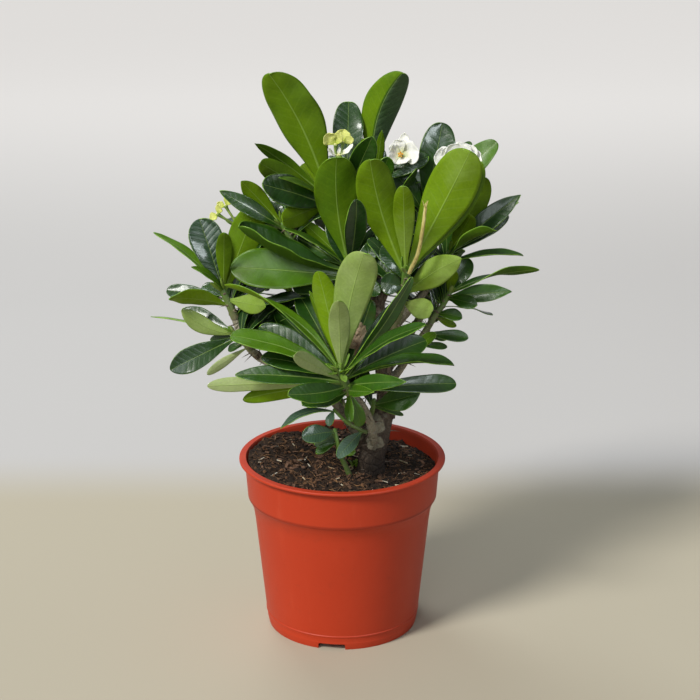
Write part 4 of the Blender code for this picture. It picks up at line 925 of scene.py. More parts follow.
# A bloom: its own short stalk up to the cup, and each bract by where its tip is and its width
BLOOMS = [
    Bloom("bloom_young_left", "young_bract", 0.95, (-0.4, -1.0, 0.4),
        [(-3.0, 303, -2.2), (-4, 308.5, -2.5), (-3.7, 311, -2)], [
        Bract(-9.8, 317.2, 0, 9), Bract(-1.2, 318.5, 1, 6.5)]),
    Bloom("bloom_young_right", "young_bract", 0.95, (0.3, -1.0, 0.4),
        [(-0.9, 303.2, -2.3), (0.3, 309, -5), (0.6, 312.4, -5.5)], [
        Bract(1.2, 320.4, -10, 8.5), Bract(6.4, 315.4, -4, 6)]),
    Bloom("fork_bracts", "bract", 1.2, (0.0, -0.6, 1.0),
        [(-2, 302.3, 0), (-2, 304.4, 0.8)], [
        Bract(-8.6, 308.8, 3, 3.4), Bract(-1.3, 309.6, 1.4, 2.6), Bract(6.9, 311.4, 2, 3.8)]),
    Bloom("bloom_open", "bract", 1.1, (-0.2, -1.0, 0.35),
        [(33.4, 301.4, -13.6), (35.5, 305, -12.5)], [
        Bract(28.2, 306.4, -10, 13, 0.6, 0.42), Bract(46.2, 307.6, -10, 15, 0.55, 0.6),
        Bract(37.9, 319.1, -15, 8, 0.45, 0.9), Bract(31.5, 314.0, -13, 11, 0.55, 0.6),
        Bract(35.5, 299.6, -8.5, 12, 0.6, 0.4)]),
    Bloom("bloom_behind_leaf", "bract", 1.1, (0.0, -1.0, 0.5),
        [(69.3, 297.4, -2.6), (70, 300, -1)], [
        Bract(55.5, 304.6, 0, 15), Bract(83, 305.5, -4, 15),
        Bract(59.5, 308.0, -1, 9, 0.6, 0.5), Bract(65.5, 311.3, -2, 12, 0.6, 0.4),
        Bract(73.0, 312.4, -3, 13, 0.6, 0.4), Bract(79.5, 309.8, -4, 12, 0.6, 0.4)]),
    Bloom("bloom_side_lower", "young_bract", 0.95, (-0.6, -1.0, 0.4),
        [(-64.7, 262, -7.4), (-71, 265.8, -5.6), (-75.2, 268.6, -5)], [
        Bract(-80, 266.3, -4, 5.5), Bract(-74.2, 274.2, -2.5, 6)]),
    Bloom("bloom_side_upper", "young_bract", 0.95, (-0.2, -1.0, 0.5),
        [(-64.1, 263.4, -8.6), (-68, 269.5, -9.4), (-70.3, 273.6, -9.4)], [
        Bract(-67.6, 279.6, -8, 6.5), Bract(-75.8, 275, -10.5, 5)]),
    Bloom("bloom_back_left", "bract", 1.1, (-0.2, 1.0, 0.8),
        [(-44, 256.6, -58.4), (-44, 258.6, -59)], [
        Bract(-54, 262, -66, 12), Bract(-36, 263, -66, 12)]),
    Bloom("bloom_back_right", "bract", 1.1, (0.2, 1.0, 0.8),
        [(60, 248.6, -56.4), (60, 250.6, -57)], [
        Bract(51, 255, -64, 12), Bract(69, 255, -64, 12)]),
    Bloom("withered_bloom", "withered", 0.9, (0.1, -1.0, 0.3),
        [(7.9, 178.4, 39.4), (9.3, 183, 38)], [
        Bract(3.6, 187.6, 42, 5), Bract(16.8, 182.2, 40, 5, 0.45, 0.9),
        Bract(11.4, 199.4, 34, 9.5)]),
]
OPEN_CENTRE = ((35.1, 305.3, -10), 1.5)

# A dead flower stalk with a frayed end, which leans in front of the big leaves
DRY_STALK = [(41, 231.6, 26.2), (46, 243, 33), (48.6, 256.2, 37), (50.5, 272.4, 39)]
DRY_STALK_GIRTH = (1.25, 1.0)
FRAYED_ENDS = [(48.4, 277.4, 39.5), (50.2, 275.6, 41), (52.2, 277.6, 39), (50.8, 276.4, 37)]

# How the leaves stand that follow the rule of the spiral, and how far a stem stops from its shoot
GOLDEN_ANGLE = 2.4
FILL_LENGTH = 46.0
FILL_RISE = 60.0
FILL_WIDTH = (0.32, 0.4)
FILL_FORM = (0, 0.68, 0.42)
NECK = 2.0
GAP = 0.3


def sighted(across, up, toward):
    """The place that looks to be (across, up) on the plane through the pot's axis from the eye."""
    on_plane = Vector((across, 0.0, up))
    return EYE + (on_plane - EYE) * (-toward - EYE.y) / (-EYE.y)


def smooth_route(points, steps):
    """A Catmull-Rom curve through the points, with this many steps between each two."""
    ends = [2 * points[0] - points[1], *points, 2 * points[-1] - points[-2]]
    route = []
    for before, start, end, after in zip(ends, ends[1:], ends[2:], ends[3:]):
        for step in range(steps):
            t = step / steps
            bend = (2 * before - 5 * start + 4 * end - after) * t * t
            turn = (3 * start - before - 3 * end + after) * t**3
            route.append(0.5 * (2 * start + (end - before) * t + bend + turn))
    return [*route, points[-1]]


def route_of(places, steps=2):
    return smooth_route([sighted(*place) for place in places], steps)


def length_of(route):
    return sum((after - before).length for before, after in zip(route, route[1:]))


def square_to(way, along):
    """The way turned square to another."""
    return (way - along * way.dot(along)).normalized()


def spoke(way, angle):
    """A way out from an axis, turned about it by an angle."""
    return Quaternion(way, angle) @ way.orthogonal().normalized()


def heading(bearing, steep):
    """The way that runs at this bearing and this steeply up."""
    flat = Vector((math.cos(bearing), math.sin(bearing), 0))
    return flat * math.cos(steep) + Vector((0, 0, math.sin(steep)))


def half_width(share, belly, point):
    """A leaf's half width from its narrow root at 0 to its tip at 1, as a share of the widest."""
    if share < belly:
        return 0.1 + 0.9 * math.sin(0.5 * math.pi * share / belly) ** 1.6
    return max(0.0, 1 - ((share - belly) / (1 - belly)) ** 2) ** point


def facing_eye(root, tip, turn):
    """The way that a leaf's upper side faces, turned about its length from looking at the eye."""
    along = (tip - root).normalized()
    sight = (EYE - (root + tip) / 2).normalized()
    return Quaternion(along, math.radians(turn)) @ square_to(sight, along)


def blade_point(leaf, root, tip, normal, share, side, trough=1.0):
    """The place on a blade, share of the way to its tip and side (-1 to 1) across it."""
    chord = tip - root
    along = chord.normalized()
    up = Quaternion(along, math.radians(leaf.twist) * share) @ normal
    arch = 4 * share * (1 - share)
    middle = root + chord * share + normal * leaf.bow * arch
    middle += along.cross(normal) * leaf.sweep * arch
    reach = 0.5 * leaf.width * half_width(share, leaf.belly, leaf.point)
    fold = math.radians(leaf.fold)
    lift = abs(side) ** trough * math.sin(fold)
    return middle + (along.cross(up) * side * math.cos(fold) + up * lift) * reach


def point_down(route, distance):
    """The place this far back along the route from its end, and the way the route runs there."""
    for after, before in zip(route[::-1], route[-2::-1]):
        step = (after - before).length
        if distance <= step:
            return after.lerp(before, distance / step), (after - before).normalized()
        distance -= step
    return route[0], (route[1] - route[0]).normalized()


def node_surface(name):
    """The surface of one of the model's solids, in metres."""
    shape = bmesh.new()
    shape.from_mesh(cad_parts[name].data)
    tree = BVHTree.FromBMesh(shape)
    shape.free()
    return tree


routes = {shoot.name: route_of(shoot.stem) for shoot in [*SHOOTS, *SPRAYS, *SPROUTS]}
surfaces = {name: node_surface(name) for name in routes}
crown_trees = [*surfaces.values(), node_surface("woody_stems")]

RIM_SHARES = (0.53, 0.7, 0.83, 0.93, 0.983, 1.0)
MOST_MISS = 0.0008
SIGHT_SHIFTS = (4, 8, 12, 17, 22, 28, 35, 43)
SPIRAL_LIFTS = (0, 8, -8, 16, -16, 26, -26, 38)
SPIRAL_SWINGS = (0, 0.25, -0.25, 0.5, -0.5, 0.8, -0.8)
INNER_COUNT = 8
INNER_REACH = (32.0, 52.0)
INNER_CROWN = (76.0, 50.0, 146.0, 285.0)
layout_draw = random.Random(7)
inner_draw = random.Random(17)


def nearest_tip(surface, leaf, root, tips, normal_of):
    """Of the tips that the leaf may have, the one whose rim lies on the model's solid."""
    best = (MOST_MISS, None)
    for tip in tips:
        normal = normal_of(tip)
        misses = []
        for share in RIM_SHARES:
            for side in (-1, 1):
                place = blade_point(leaf, root, tip, normal, share, side) * MM
                misses.append(surface.find_nearest(place)[3])
        miss = sum(misses) / len(misses)
        if miss < best[0]:
            best = (miss, (tip, normal))
    return best[1]


def seen_leaves(shoot):
    """The shoot's own leaves, each shifted along the line of sight to where the model has it."""
    placed = []
    shifts = [0]
    for reach in SIGHT_SHIFTS:
        shifts += [reach, -reach]
    for leaf in shoot.leaves:
        root, _ = point_down(routes[shoot.name], leaf.down)
        tips = [sighted(leaf.across, leaf.up, leaf.toward + shift) for shift in shifts]
        surface = surfaces[shoot.name]
        found = nearest_tip(surface, leaf, root, tips, lambda tip: facing_eye(root, tip, leaf.turn))
        if found:
            placed.append((leaf, root, *found, leaf.tone))
    return placed


def spiral_leaves(name, count, length, rise, all_round):
    """Leaves up the stem by the golden angle, low ones spreading and high ones upright."""
    placed = []
    for index in range(count):
        share = (index + 0.5) / count
        root, way = point_down(routes[name], 14 * (1 - share))
        bearing = GOLDEN_ANGLE * index + layout_draw.uniform(-0.3, 0.3)
        if not all_round:
            bearing = math.pi / 2 + (share - 0.5) * 2.6 * (-1) ** index
        steep = math.radians(rise * share**0.8 + layout_draw.uniform(-6, 6))
        reach = length * layout_draw.uniform(0.82, 1.08) * (1 - 0.25 * share)
        leaf = Blade(reach * layout_draw.uniform(*FILL_WIDTH), reach * 0.09, *FILL_FORM)
        tips = [
            root + heading(bearing + swing, steep + math.radians(lift)) * reach
            for lift in SPIRAL_LIFTS
            for swing in SPIRAL_SWINGS
        ]

        def normal_of(tip):
            return square_to(way + Vector((0, 0, 0.6)), (tip - root).normalized())

        found = nearest_tip(surfaces[name], leaf, root, tips, normal_of)
        if found:
            placed.append((leaf, root, *found, noise.noise(root) * 0.35 + 0.22))
    return placed


def free_of(trees, place, tip):
    """True where nothing stands between the two places."""
    way = tip - place
    return not any(tree.ray_cast(place * MM, way, way.length * MM)[0] for tree in trees)


def inner_leaves(route, girth):
    """Leaves low on a stem that fill the inside of the crown where nothing is in their way, with
    dark tones that are painted shade inside the crown.
    """
    wide, deep, low, high = INNER_CROWN
    found = []
    for _ in range(INNER_COUNT * 14):
        root, way = point_down(route, inner_draw.uniform(4, 24))
        bearing = inner_draw.uniform(-0.1, math.pi + 0.1)
        out = heading(bearing, math.radians(inner_draw.uniform(-8, 60)))
        reach = inner_draw.uniform(*INNER_REACH)
        tip = root + out * reach
        if abs(tip.x) > wide or abs(tip.y) > deep or not low < tip.z < high:
            continue
        leaf = Blade(reach * inner_draw.uniform(0.3, 0.38), reach * 0.09, *FILL_FORM)
        side = out.cross(Vector((0, 0, 1))).normalized() * leaf.width * 0.45
        start = root + out * (girth + 1.5)
        middle = root.lerp(tip, 0.6)
        lines = [(start, tip)]
        for edge in (middle + side, middle - side):
            lines += [(start, edge), (edge, tip)]
        if all(free_of(crown_trees, first, last) for first, last in lines):
            normal = square_to(way + Vector((0, 0, 0.8)), out)
            # The inner leaves' dark tones are painted shade.
            found.append((leaf, root, tip, normal, inner_draw.uniform(-0.05, 0.22)))
            if len(found) == INNER_COUNT:
                break
    return found


# Each leafy shoot ends in a rosette of leathery leaves. A leaf is a shallow trough with a thin pale
# rim, a midrib that stands out below, and side veins that sink into its glossy upper side.
LEAF_SHEET = 0.45
VEIN_PAIRS = 13.0
RIM_WAVE = 0.035
LEAF_WAVE = 0.04
UPPER = (
    (0.0, (0.050, 0.105, 0.060)),
    (0.333, (0.009, 0.038, 0.004)),
    (0.5, (0.028, 0.095, 0.002)),
    (0.667, (0.105, 0.235, 0.003)),
    (1.0, (0.270, 0.370, 0.110)),
)
UNDER = (
    (0.0, (0.110, 0.165, 0.100)),
    (0.333, (0.028, 0.076, 0.006)),
    (0.5, (0.070, 0.150, 0.002)),
    (0.667, (0.165, 0.280, 0.003)),
    (1.0, (0.440, 0.520, 0.240)),
)
SHADOW_COLOUR = (0.004, 0.02, 0.002)
RIB_COLOUR = (0.36, 0.52, 0.12)
ROOT_COLOUR = (0.20, 0.33, 0.05)
BRUISE_COLOUR = (0.040, 0.038, 0.005)
SPOT_COLOUR = (0.16, 0.15, 0.04)
RIM_COLOUR = (0.17, 0.31, 0.02)
LEAF_RELIEF = 0.00022
WIDE_LEAF = 9
WIDE_GRID = (14, 32)
SLIM_GRID = (8, 20)
YOUNG_GRID = (4, 9)
YOUNG_LENGTH = (6.0, 13.0)
MANY_YOUNG = 13
FEW_YOUNG = 5


def leaf_finish(name, shades, gloss, strengths, rib_height, **constants):
    """A leaf's skin, with its midrib and side veins drawn from the blade's own coordinates."""
    finish = Finish(
        name,
        Subsurface_Weight=0.1,
        Subsurface_Scale=0.0008,
        Subsurface_Radius=(0.5, 0.8, 0.2),
        **constants,
    )
    values = finish.mark("leaf", "Color")
    share, side, tone = (values.part(index, "Color") for index in range(3))
    along, across = finish.on_blade()
    clouds = finish.noise(45.0, 4.0)
    grain = finish.noise(700.0, 3.0)
    stripe = (along - across * 0.75 + across * across * 0.06 + clouds * 0.5).to_and_fro(0.5)
    rib = 1.0 - (across / (0.15 - share * 0.11)).between(0.4, 1.2)
    edge = abs(side * 2.0 - 1.0)
    mature = 1.0 - tone.between(0.36, 0.56)
    veins = (1.0 - stripe.between(0.0, 0.13)) * (1.0 - edge**3.0) * (1.0 - rib)
    web = finish.cells(950.0, "DISTANCE_TO_EDGE").between(0.0, 0.12)
    colour = finish.ramp(tone + (clouds - 0.5) * 0.22, *shades)
    colour = finish.mix((1.0 - grain) * 0.35, colour, SHADOW_COLOUR)
    colour = finish.mix(veins * strengths[0], colour, finish.ramp(tone + 0.16, *shades))
    colour = finish.mix(rib * strengths[1], colour, RIB_COLOUR)
    colour = finish.mix((1.0 - share.between(0.0, 0.2)) * 0.5, colour, ROOT_COLOUR)
    bruise = finish.noise(26.0, 3.0, 0.5, None, 0.8).between(0.56, 0.74)
    colour = finish.mix(bruise * 0.42, colour, BRUISE_COLOUR)
    spots = finish.noise(320.0, 5.0, 0.7).between(0.68, 0.78)
    colour = finish.mix(spots * 0.2, colour, SPOT_COLOUR)
    colour = finish.mix(edge.between(0.95, 1.0) * 0.35, colour, RIM_COLOUR)
    quilted = tone.between(0.14, 0.19) * (1.0 - tone.between(0.24, 0.32))
    swell = stripe.between(0.0, 0.34) * (0.3 + mature * 0.7 + quilted * 2.5)
    height = swell * strengths[2] + rib * rib_height + web * 0.1 + grain * 0.1
    finish.relief(height, LEAF_RELIEF)
    velvet = 1.0 - tone.between(0.05, 0.25)
    roughness = gloss[0] + clouds * 0.12 + grain * 0.06 + velvet * 0.2
    shine = mature * gloss[1] * tone.between(0.05, 0.25) + clouds * 0.06
    return finish.coat(Base_Color=colour, Roughness=roughness, Coat_Weight=shine)


waxy = {"Specular_IOR_Level": 0.34, "Coat_Roughness": 0.14}
dull = {"Specular_IOR_Level": 0.1}
leaf_skins = [
    leaf_finish("leaf_upper", UPPER, (0.28, 0.32), (0.10, 0.30, 0.40), -1.2, **waxy),
    leaf_finish("leaf_under", UNDER, (0.55, 0.0), (0.08, 0.30, 0.2), 0.9, **dull),
    plain_finish("leaf_rim", (0.09, 0.21, 0.010), (0.23, 0.40, 0.04), 200.0, 0.4),
]


def add_blade(shape, leaf, root, tip, normal, tone, grid):
    """Adds one blade as a sheet, with the coordinates that its finish reads."""
    marks = shape.verts.layers.float_color["leaf"]
    spots = shape.loops.layers.uv["blade"]
    made = bmesh.ops.create_grid(shape, x_segments=grid[0], y_segments=grid[1], size=1.0)
    length = (tip - root).length
    unit = VEIN_PAIRS / length
    phase = root.x * 3 + root.z
    local = {}
    for corner in made["verts"]:
        side = corner.co.x
        share = 1 - (1 - (corner.co.y + 1) / 2) ** 1.6
        shade = tone
        # A leaf given two tones takes the first on one half of its fold and the second on the
        # other; the greyer half is a painted sheen.
        if isinstance(tone, tuple):
            shade = tone[0] + (tone[1] - tone[0]) * (side > 0.05)
        corner[marks] = (share, side / 2 + 0.5, (shade + 1) / 3, 1.0)
        reach = 0.5 * leaf.width * half_width(share, leaf.belly, leaf.point)
        local[corner] = (share * length * unit, side * reach * unit)
        place = blade_point(leaf, root, tip, normal, share, side, 1.5)
        wave = math.sin(share * 19 + phase + side * 2) * side * side * leaf.width * RIM_WAVE
        wave += noise.noise(place * 0.09) * leaf.width * LEAF_WAVE
        corner.co = place + normal * wave * share
    for face in {face for corner in made["verts"] for face in corner.link_faces}:
        for loop in face.loops:
            loop[spots].uv = local[loop.vert]
        face.smooth = True


def blade_sheets():
    """An empty shape that keeps the blades' coordinates."""
    shape = bmesh.new()
    shape.verts.layers.float_color.new("leaf")
    shape.loops.layers.uv.new("blade")
    return shape


def add_sheets(name, node, shape, skins, thickness):
    """Makes a piece of the sheets: given three skins, its underside and rim have their own."""
    bmesh.ops.remove_doubles(shape, verts=shape.verts[:], dist=0.0005)
    piece = add_piece(name, shape, skins, node, None)
    thick = piece.modifiers.new("thickness", "SOLIDIFY")
    thick.thickness = thickness * MM
    thick.offset = 0.0
    if len(skins) > 1:
        thick.material_offset = 1
        thick.material_offset_rim = 2


def young_leaves(shape, route, girth, count):
    """The folded young leaves that crowd round a shoot's growing tip."""
    end = route[-1]
    way = (route[-1] - route[-2]).normalized()
    for index in range(count):
        out = spoke(way, GOLDEN_ANGLE * index + look_draw.uniform(0, 0.5))
        lean = 0.15 + 0.11 * index
        reach = look_draw.uniform(*YOUNG_LENGTH) * min(1.0, 0.6 + 0.1 * index)
        root = end + out * girth * 0.3
        tip = end + (way * math.cos(lean) + out * math.sin(lean)) * reach
        leaf = Blade(reach * 0.34, -reach * 0.06, 30, 0.6, 0.7)
        normal = square_to((way - out * 1.5).normalized(), (tip - root).normalized())
        add_blade(shape, leaf, root, tip, normal, look_draw.uniform(1.0, 1.5), YOUNG_GRID)


look_draw = random.Random(11)
placed = {shoot.name: seen_leaves(shoot) for shoot in [*SHOOTS, *SPROUTS]}
for shoot in SHOOTS:
    placed[shoot.name] += spiral_leaves(shoot.name, shoot.fill, FILL_LENGTH, FILL_RISE, False)
for spray in SPRAYS:
    placed[spray.name] = spiral_leaves(spray.name, spray.count, spray.length, spray.rise, True)
for shoot in [*SHOOTS, *SPRAYS, *SPROUTS]:
    route = routes[shoot.name]
    sheets = blade_sheets()
    for leaf, *rest in placed[shoot.name]:
        add_blade(sheets, leaf, *rest, WIDE_GRID if leaf.width > WIDE_LEAF else SLIM_GRID)
    if shoot.girth > 2:
        count = MANY_YOUNG if shoot.name == "shoot_front" else FEW_YOUNG
        young_leaves(sheets, route, shoot.girth, count)
        for values in inner_leaves(route, shoot.girth):
            add_blade(sheets, *values, SLIM_GRID)
    add_sheets(shoot.name + "_leaves", shoot.name, sheets, leaf_skins, LEAF_SHEET)


# Below its leaves each shoot is a green stem that turns grey with age. It carries a raised scar
# where each leaf fell and a pair of slender spines beside it, and some shoots bear flower stalks.
SPINE_LENGTH = (5.0, 8.5)
SPINE_LEAN = (-0.1, 0.35)
SHOOT_SPINES = 0.8
SHOOT_SPINE_RADIUS = 0.34
SPINE_SPREAD = 0.35
SCAR_SPACING = 2.1
SPROUT_SCAR_SPACING = 4.0
SCAR_SIZE = 1.25
SPROUT_SCAR_SIZE = 0.8


def ball(shape, centre, radius, fineness=2):
    """Adds a round ball to the shape."""
    place = Matrix.Translation(centre)
    bmesh.ops.create_icosphere(shape, subdivisions=fineness, radius=radius, matrix=place)


def thorn(shape, place, out, length, radius):
    """A slender spine that swells to a foot where it grows from the stem."""
    turn = out.to_track_quat("Z", "Y").to_matrix().to_4x4()
    for foot, start, reach in ((1.0, -0.3, length), (1.9, -0.5, length * 0.22)):
        bmesh.ops.create_cone(
            shape,
            cap_ends=True,
            segments=6,
            radius1=radius * foot,
            radius2=radius * 0.08,
            depth=reach,
            matrix=Matrix.Translation(place + out * (start + reach / 2)) @ turn,
        )


def around(route, radii, share, angle):
    """The place on a tapering stem's skin, the way out of it there, and the way it runs."""
    at = share * (len(route) - 1)
    first = min(int(at), len(route) - 2)
    before, after = route[first : first + 2]
    way = (after - before).normalized()
    out = spoke(way, angle)
    radius = radii[0] + (radii[1] - radii[0]) * share
    middle = before.lerp(after, at - int(at) if at < len(route) - 1 else 1.0)
    return middle + out * radius, out, way


def stem_finish():
    """Green skin that greys toward the root of the shoot, with brown scars and pale dots."""
    finish = Finish("green_stem", Subsurface_Weight=0.05, Subsurface_Scale=0.0008)
    clouds = finish.noise(180.0, 5.0, 0.6)
    colour = finish.ramp(
        finish.mark("age") + (clouds - 0.5) * 0.35,
        (0.0, (0.095, 0.190, 0.022)),
        (0.45, (0.125, 0.165, 0.045)),
        (0.8, (0.165, 0.145, 0.080)),
        (1.0, (0.100, 0.062, 0.034)),
    )
    dots = finish.cells(620.0).between(0.12, 0.25)
    colour = finish.mix((1.0 - dots) * 0.5, colour, (0.36, 0.36, 0.22))
    finish.relief(clouds + dots * 0.3, 0.0003)
    return finish.coat(Base_Color=colour, Roughness=0.5 + clouds * 0.2)


def age_stem(shape, rings, first, last):
    """Marks how old the stem's skin is, from its foot to its tip."""
    age = shape.verts.layers.float["age"]
    for index, ring in enumerate(rings):
        share = index / (len(rings) - 1)
        for corner in ring:
            corner[age] = first + (last - first) * share


def scar(shape, place, out, way, size):
    """A raised pad with a sunken middle, where a leaf fell off."""
    age = shape.verts.layers.float["age"]
    square = Matrix((way.cross(out), way, out)).transposed().to_4x4()
    squash = Matrix.Diagonal((size, size * 0.6, size * 0.4, 1))
    spot = Matrix.Translation(place - out * size * 0.12) @ square @ squash
    made = bmesh.ops.create_icosphere(shape, subdivisions=2, radius=1.0, matrix=spot)
    for corner in made["verts"]:
        corner[age] = 0.98 if (corner.co - place).dot(out) > size * 0.12 else 0.7


stem_skin = stem_finish()
spine_skin = plain_finish("spine", (0.075, 0.050, 0.035), (0.24, 0.19, 0.14), 220.0, 0.7)
for shoot in [*SHOOTS, *SPRAYS, *SPROUTS]:
    young = shoot.girth < 2
    fine = route_of(shoot.stem, 8)
    radii = (shoot.girth, shoot.girth * 0.7)
    stems = bmesh.new()
    stems.verts.layers.float.new("age")
    age_stem(stems, strand(stems, fine, radii, 16), 0.35 if young else 0.75, 0.0)
    for corner in stems.verts:
        corner.co += noise.noise_vector(corner.co * 0.35) * 0.22
    ball(stems, fine[-1], radii[1] * 1.02, 3)
    thorns = bmesh.new()
    count = int(length_of(fine) / (SPROUT_SCAR_SPACING if young else SCAR_SPACING))
    others = [tree for name, tree in surfaces.items() if name != shoot.name]
    for index in range(count):
        share = (index + 0.5) / count
        angle = GOLDEN_ANGLE * index
        scar(stems, *around(fine, radii, share, angle), SPROUT_SCAR_SIZE if young else SCAR_SIZE)
        if index % 2 or young:
            continue
        for turn in (-SPINE_SPREAD, SPINE_SPREAD):
            place, out, way = around(fine, radii, share, angle + turn)
            out = (out + way * look_draw.uniform(*SPINE_LEAN)).normalized()
            reach = look_draw.uniform(*SPINE_LENGTH) * SHOOT_SPINES
            if free_of(others, place, place + out * reach):
                thorn(thorns, place, out, reach, SHOOT_SPINE_RADIUS)
    for stalk in STALKS:
        if stalk.owner == shoot.name:
            age_stem(stems, strand(stems, route_of(stalk.route, 8), stalk.girth, 12), 0.2, 0.25)
    add_piece(shoot.name + "_stem", stems, [stem_skin], shoot.name)
    if thorns.verts:
        add_piece(shoot.name + "_spines", thorns, [spine_skin], shoot.name)
    else:
        thorns.free()


# The trunk and its branches are woody: rough grey-brown bark with upright cracks, warts and
# patches of pale lichen, set with dry spines. Each branch swells where it leaves its parent.
BARK_VOXEL = 0.75
BRANCH_SWELL = 0.28
YOUNG_BRANCH = 3.6
ROUGH_BELOW = 140
SPINE_SPACING = 4.2
TRUNK_SPINE_SPACING = 5.0
BARK_SPINE_RADIUS = 0.42


def branch_route(branch, steps):
    """A branch's route, which turns at its end to meet its shoot squarely and a gap short of it."""
    route = route_of(branch.route, steps)
    for shoot in [*SHOOTS, *SPRAYS]:
        if shoot.stem[0] == branch.route[-1]:
            start, after = route_of(shoot.stem)[:2]
            way = (after - start).normalized()
            return [*route[:-1], start - way * NECK, start - way * GAP]
    return route


def bark_finish():
    """Bark with cracks along the stem: dark on the trunk, smooth and pale on young branches."""
    finish = Finish("bark", Specular_IOR_Level=0.25)
    clouds = finish.noise(70.0, 5.0, 0.6)
    cracks = finish.noise(330.0, 8.0, 0.7, finish.stretched((1.0, 1.0, 0.4)), 1.2)
    plates = finish.cells(190.0, "DISTANCE_TO_EDGE").between(0.0, 0.16)
    # The bark is darker low on the trunk, fading out between 105 and 165 mm up.
    low_trunk_darkening = 1.0 - finish.place.part(2).between(0.105, 0.165)
    colour = finish.ramp(
        cracks * 0.7 + clouds * 0.3,
        (0.25, (0.045, 0.030, 0.020)),
        (0.45, (0.150, 0.112, 0.078)),
        (0.6, (0.270, 0.215, 0.160)),
        (0.8, (0.420, 0.360, 0.290)),
    )
    colour = finish.mix((1.0 - plates) * 0.35, colour, (0.05, 0.035, 0.025))
    youth = finish.mark("youth")
    young = finish.ramp(
        cracks * 0.5 + clouds * 0.5,
        (0.3, (0.185, 0.165, 0.105)),
        (0.5, (0.350, 0.325, 0.230)),
        (0.7, (0.500, 0.465, 0.350)),
    )
    colour = finish.mix(youth * 0.85, colour, young)
    lichen = finish.noise(240.0, 6.0, 0.65).between(0.56, 0.68)
    colour = finish.mix(lichen * 0.5, colour, (0.36, 0.35, 0.30))
    low_trunk_colour = finish.mix(cracks.between(0.5, 0.75), (0.026, 0.015, 0.009), (0.13, 0.09, 0.06))
    colour = finish.mix(low_trunk_darkening * (1.0 - youth * 0.8) * 0.92, colour, low_trunk_colour)
    finish.relief(cracks * 0.8 + plates * 0.3, 0.0022)
    return finish.coat(Base_Color=colour, Roughness=0.82 + clouds * 0.12)


def woody_body():
    """The trunk and branches as overlapping strands, each swollen where it leaves its parent."""
    shape = bmesh.new()
    strand(shape, route_of(TRUNK.route, 8), TRUNK.girth, 24)
    for branch in BRANCHES:
        route = branch_route(branch, 8)
        last = len(route) - 1
        start, end = branch.girth
        radii = []
        for index in range(last + 1):
            swell = 1.0 + BRANCH_SWELL * max(0.0, 1 - index / 5)
            radii.append((start + (end - start) * index / last) * swell)
        strand(shape, route, radii, 16)
    return shape


def melt(shape, voxel):
    """Joins overlapping closed shapes, in millimetres, into one even skin."""
    blank = helper("melting", shape)
    scene.collection.objects.link(blank)
    remesh = blank.modifiers.new("remesh", "REMESH")
    remesh.mode = "VOXEL"
    remesh.voxel_size = voxel * MM
    bpy.context.view_layer.update()
    graph = bpy.context.evaluated_depsgraph_get()
    melted = bmesh.new()
    melted.from_mesh(blank.evaluated_get(graph).to_mesh())
    bpy.data.objects.remove(blank, do_unlink=True)
    bmesh.ops.scale(melted, vec=(1 / MM, 1 / MM, 1 / MM), verts=melted.verts[:])
    ways = {"use_axis_x": True, "use_axis_y": True, "use_axis_z": True}
    for _ in range(3):
        bmesh.ops.smooth_vert(melted, verts=melted.verts[:], factor=0.5, **ways)
    melted.normal_update()
    return melted


bark = melt(woody_body(), BARK_VOXEL)
youth = bark.verts.layers.float.new("youth")
ages = []
for branch in [TRUNK, *BRANCHES]:
    thin = max(0.0, min(1.0, (YOUNG_BRANCH - branch.girth[0]) / 0.6))
    route = route_of(branch.route, 8)
    ages += [(place, thin if step > 3 else 0.0) for step, place in enumerate(route)]
axis = KDTree(len(ages))
for index, (place, _) in enumerate(ages):
    axis.insert(place, index)
axis.balance()
for corner in bark.verts:
    corner[youth] = ages[axis.find(corner.co)[1]][1]
    place = corner.co
    rough = noise.fractal(Vector((place.x, place.y, place.z * 0.5)) * 0.45, 0.8, 2.1, 3)
    warts = max(0.0, noise.noise(place * 0.9 + Vector((40, 0, 0))) - 0.25) * 1.5
    thick = 1.0 if place.z < ROUGH_BELOW else 0.45
    depth = (rough * 0.55 + warts) * thick * (1.0 - corner[youth] * 0.45)
    corner.co = place + corner.normal * depth
add_piece("woody_bark", bark, [bark_finish()], "woody_stems", None)

thorns = bmesh.new()
leaf_trees = list(surfaces.values())
for branch in [TRUNK, *BRANCHES]:
    route = route_of(branch.route, 8)
    length = length_of(route)
    spacing = TRUNK_SPINE_SPACING if branch is TRUNK else SPINE_SPACING
    for index in range(int(length / spacing)):
        share = min(1.0, (index + look_draw.uniform(0.2, 0.8)) * spacing / length)
        place, out, way = around(route, branch.girth, share, GOLDEN_ANGLE * index)
        if place.z < SOIL_LEVEL + 3:
            continue
        out = (out + way * look_draw.uniform(*SPINE_LEAN)).normalized()
        reach = look_draw.uniform(*SPINE_LENGTH)
        if free_of(leaf_trees, place, place + out * reach):
            thorn(thorns, place, out, reach, BARK_SPINE_RADIUS)
add_piece("woody_spines", thorns, [spine_skin], "woody_stems")


# Beside the sprout a pale ring shows where another one was cut off, and tiny leaves break the soil.
# The ring is the cut shoot's dry skin, and the leaves grow from under the crumbs.
CUT_STUB = (5.5, 103.4, 9.5)
STUB_RADIUS = 1.15
STUB_RIM = 0.55
SPRIG = (7.6, 105.5, 12.0)
SPRIG_GRID = (4, 8)

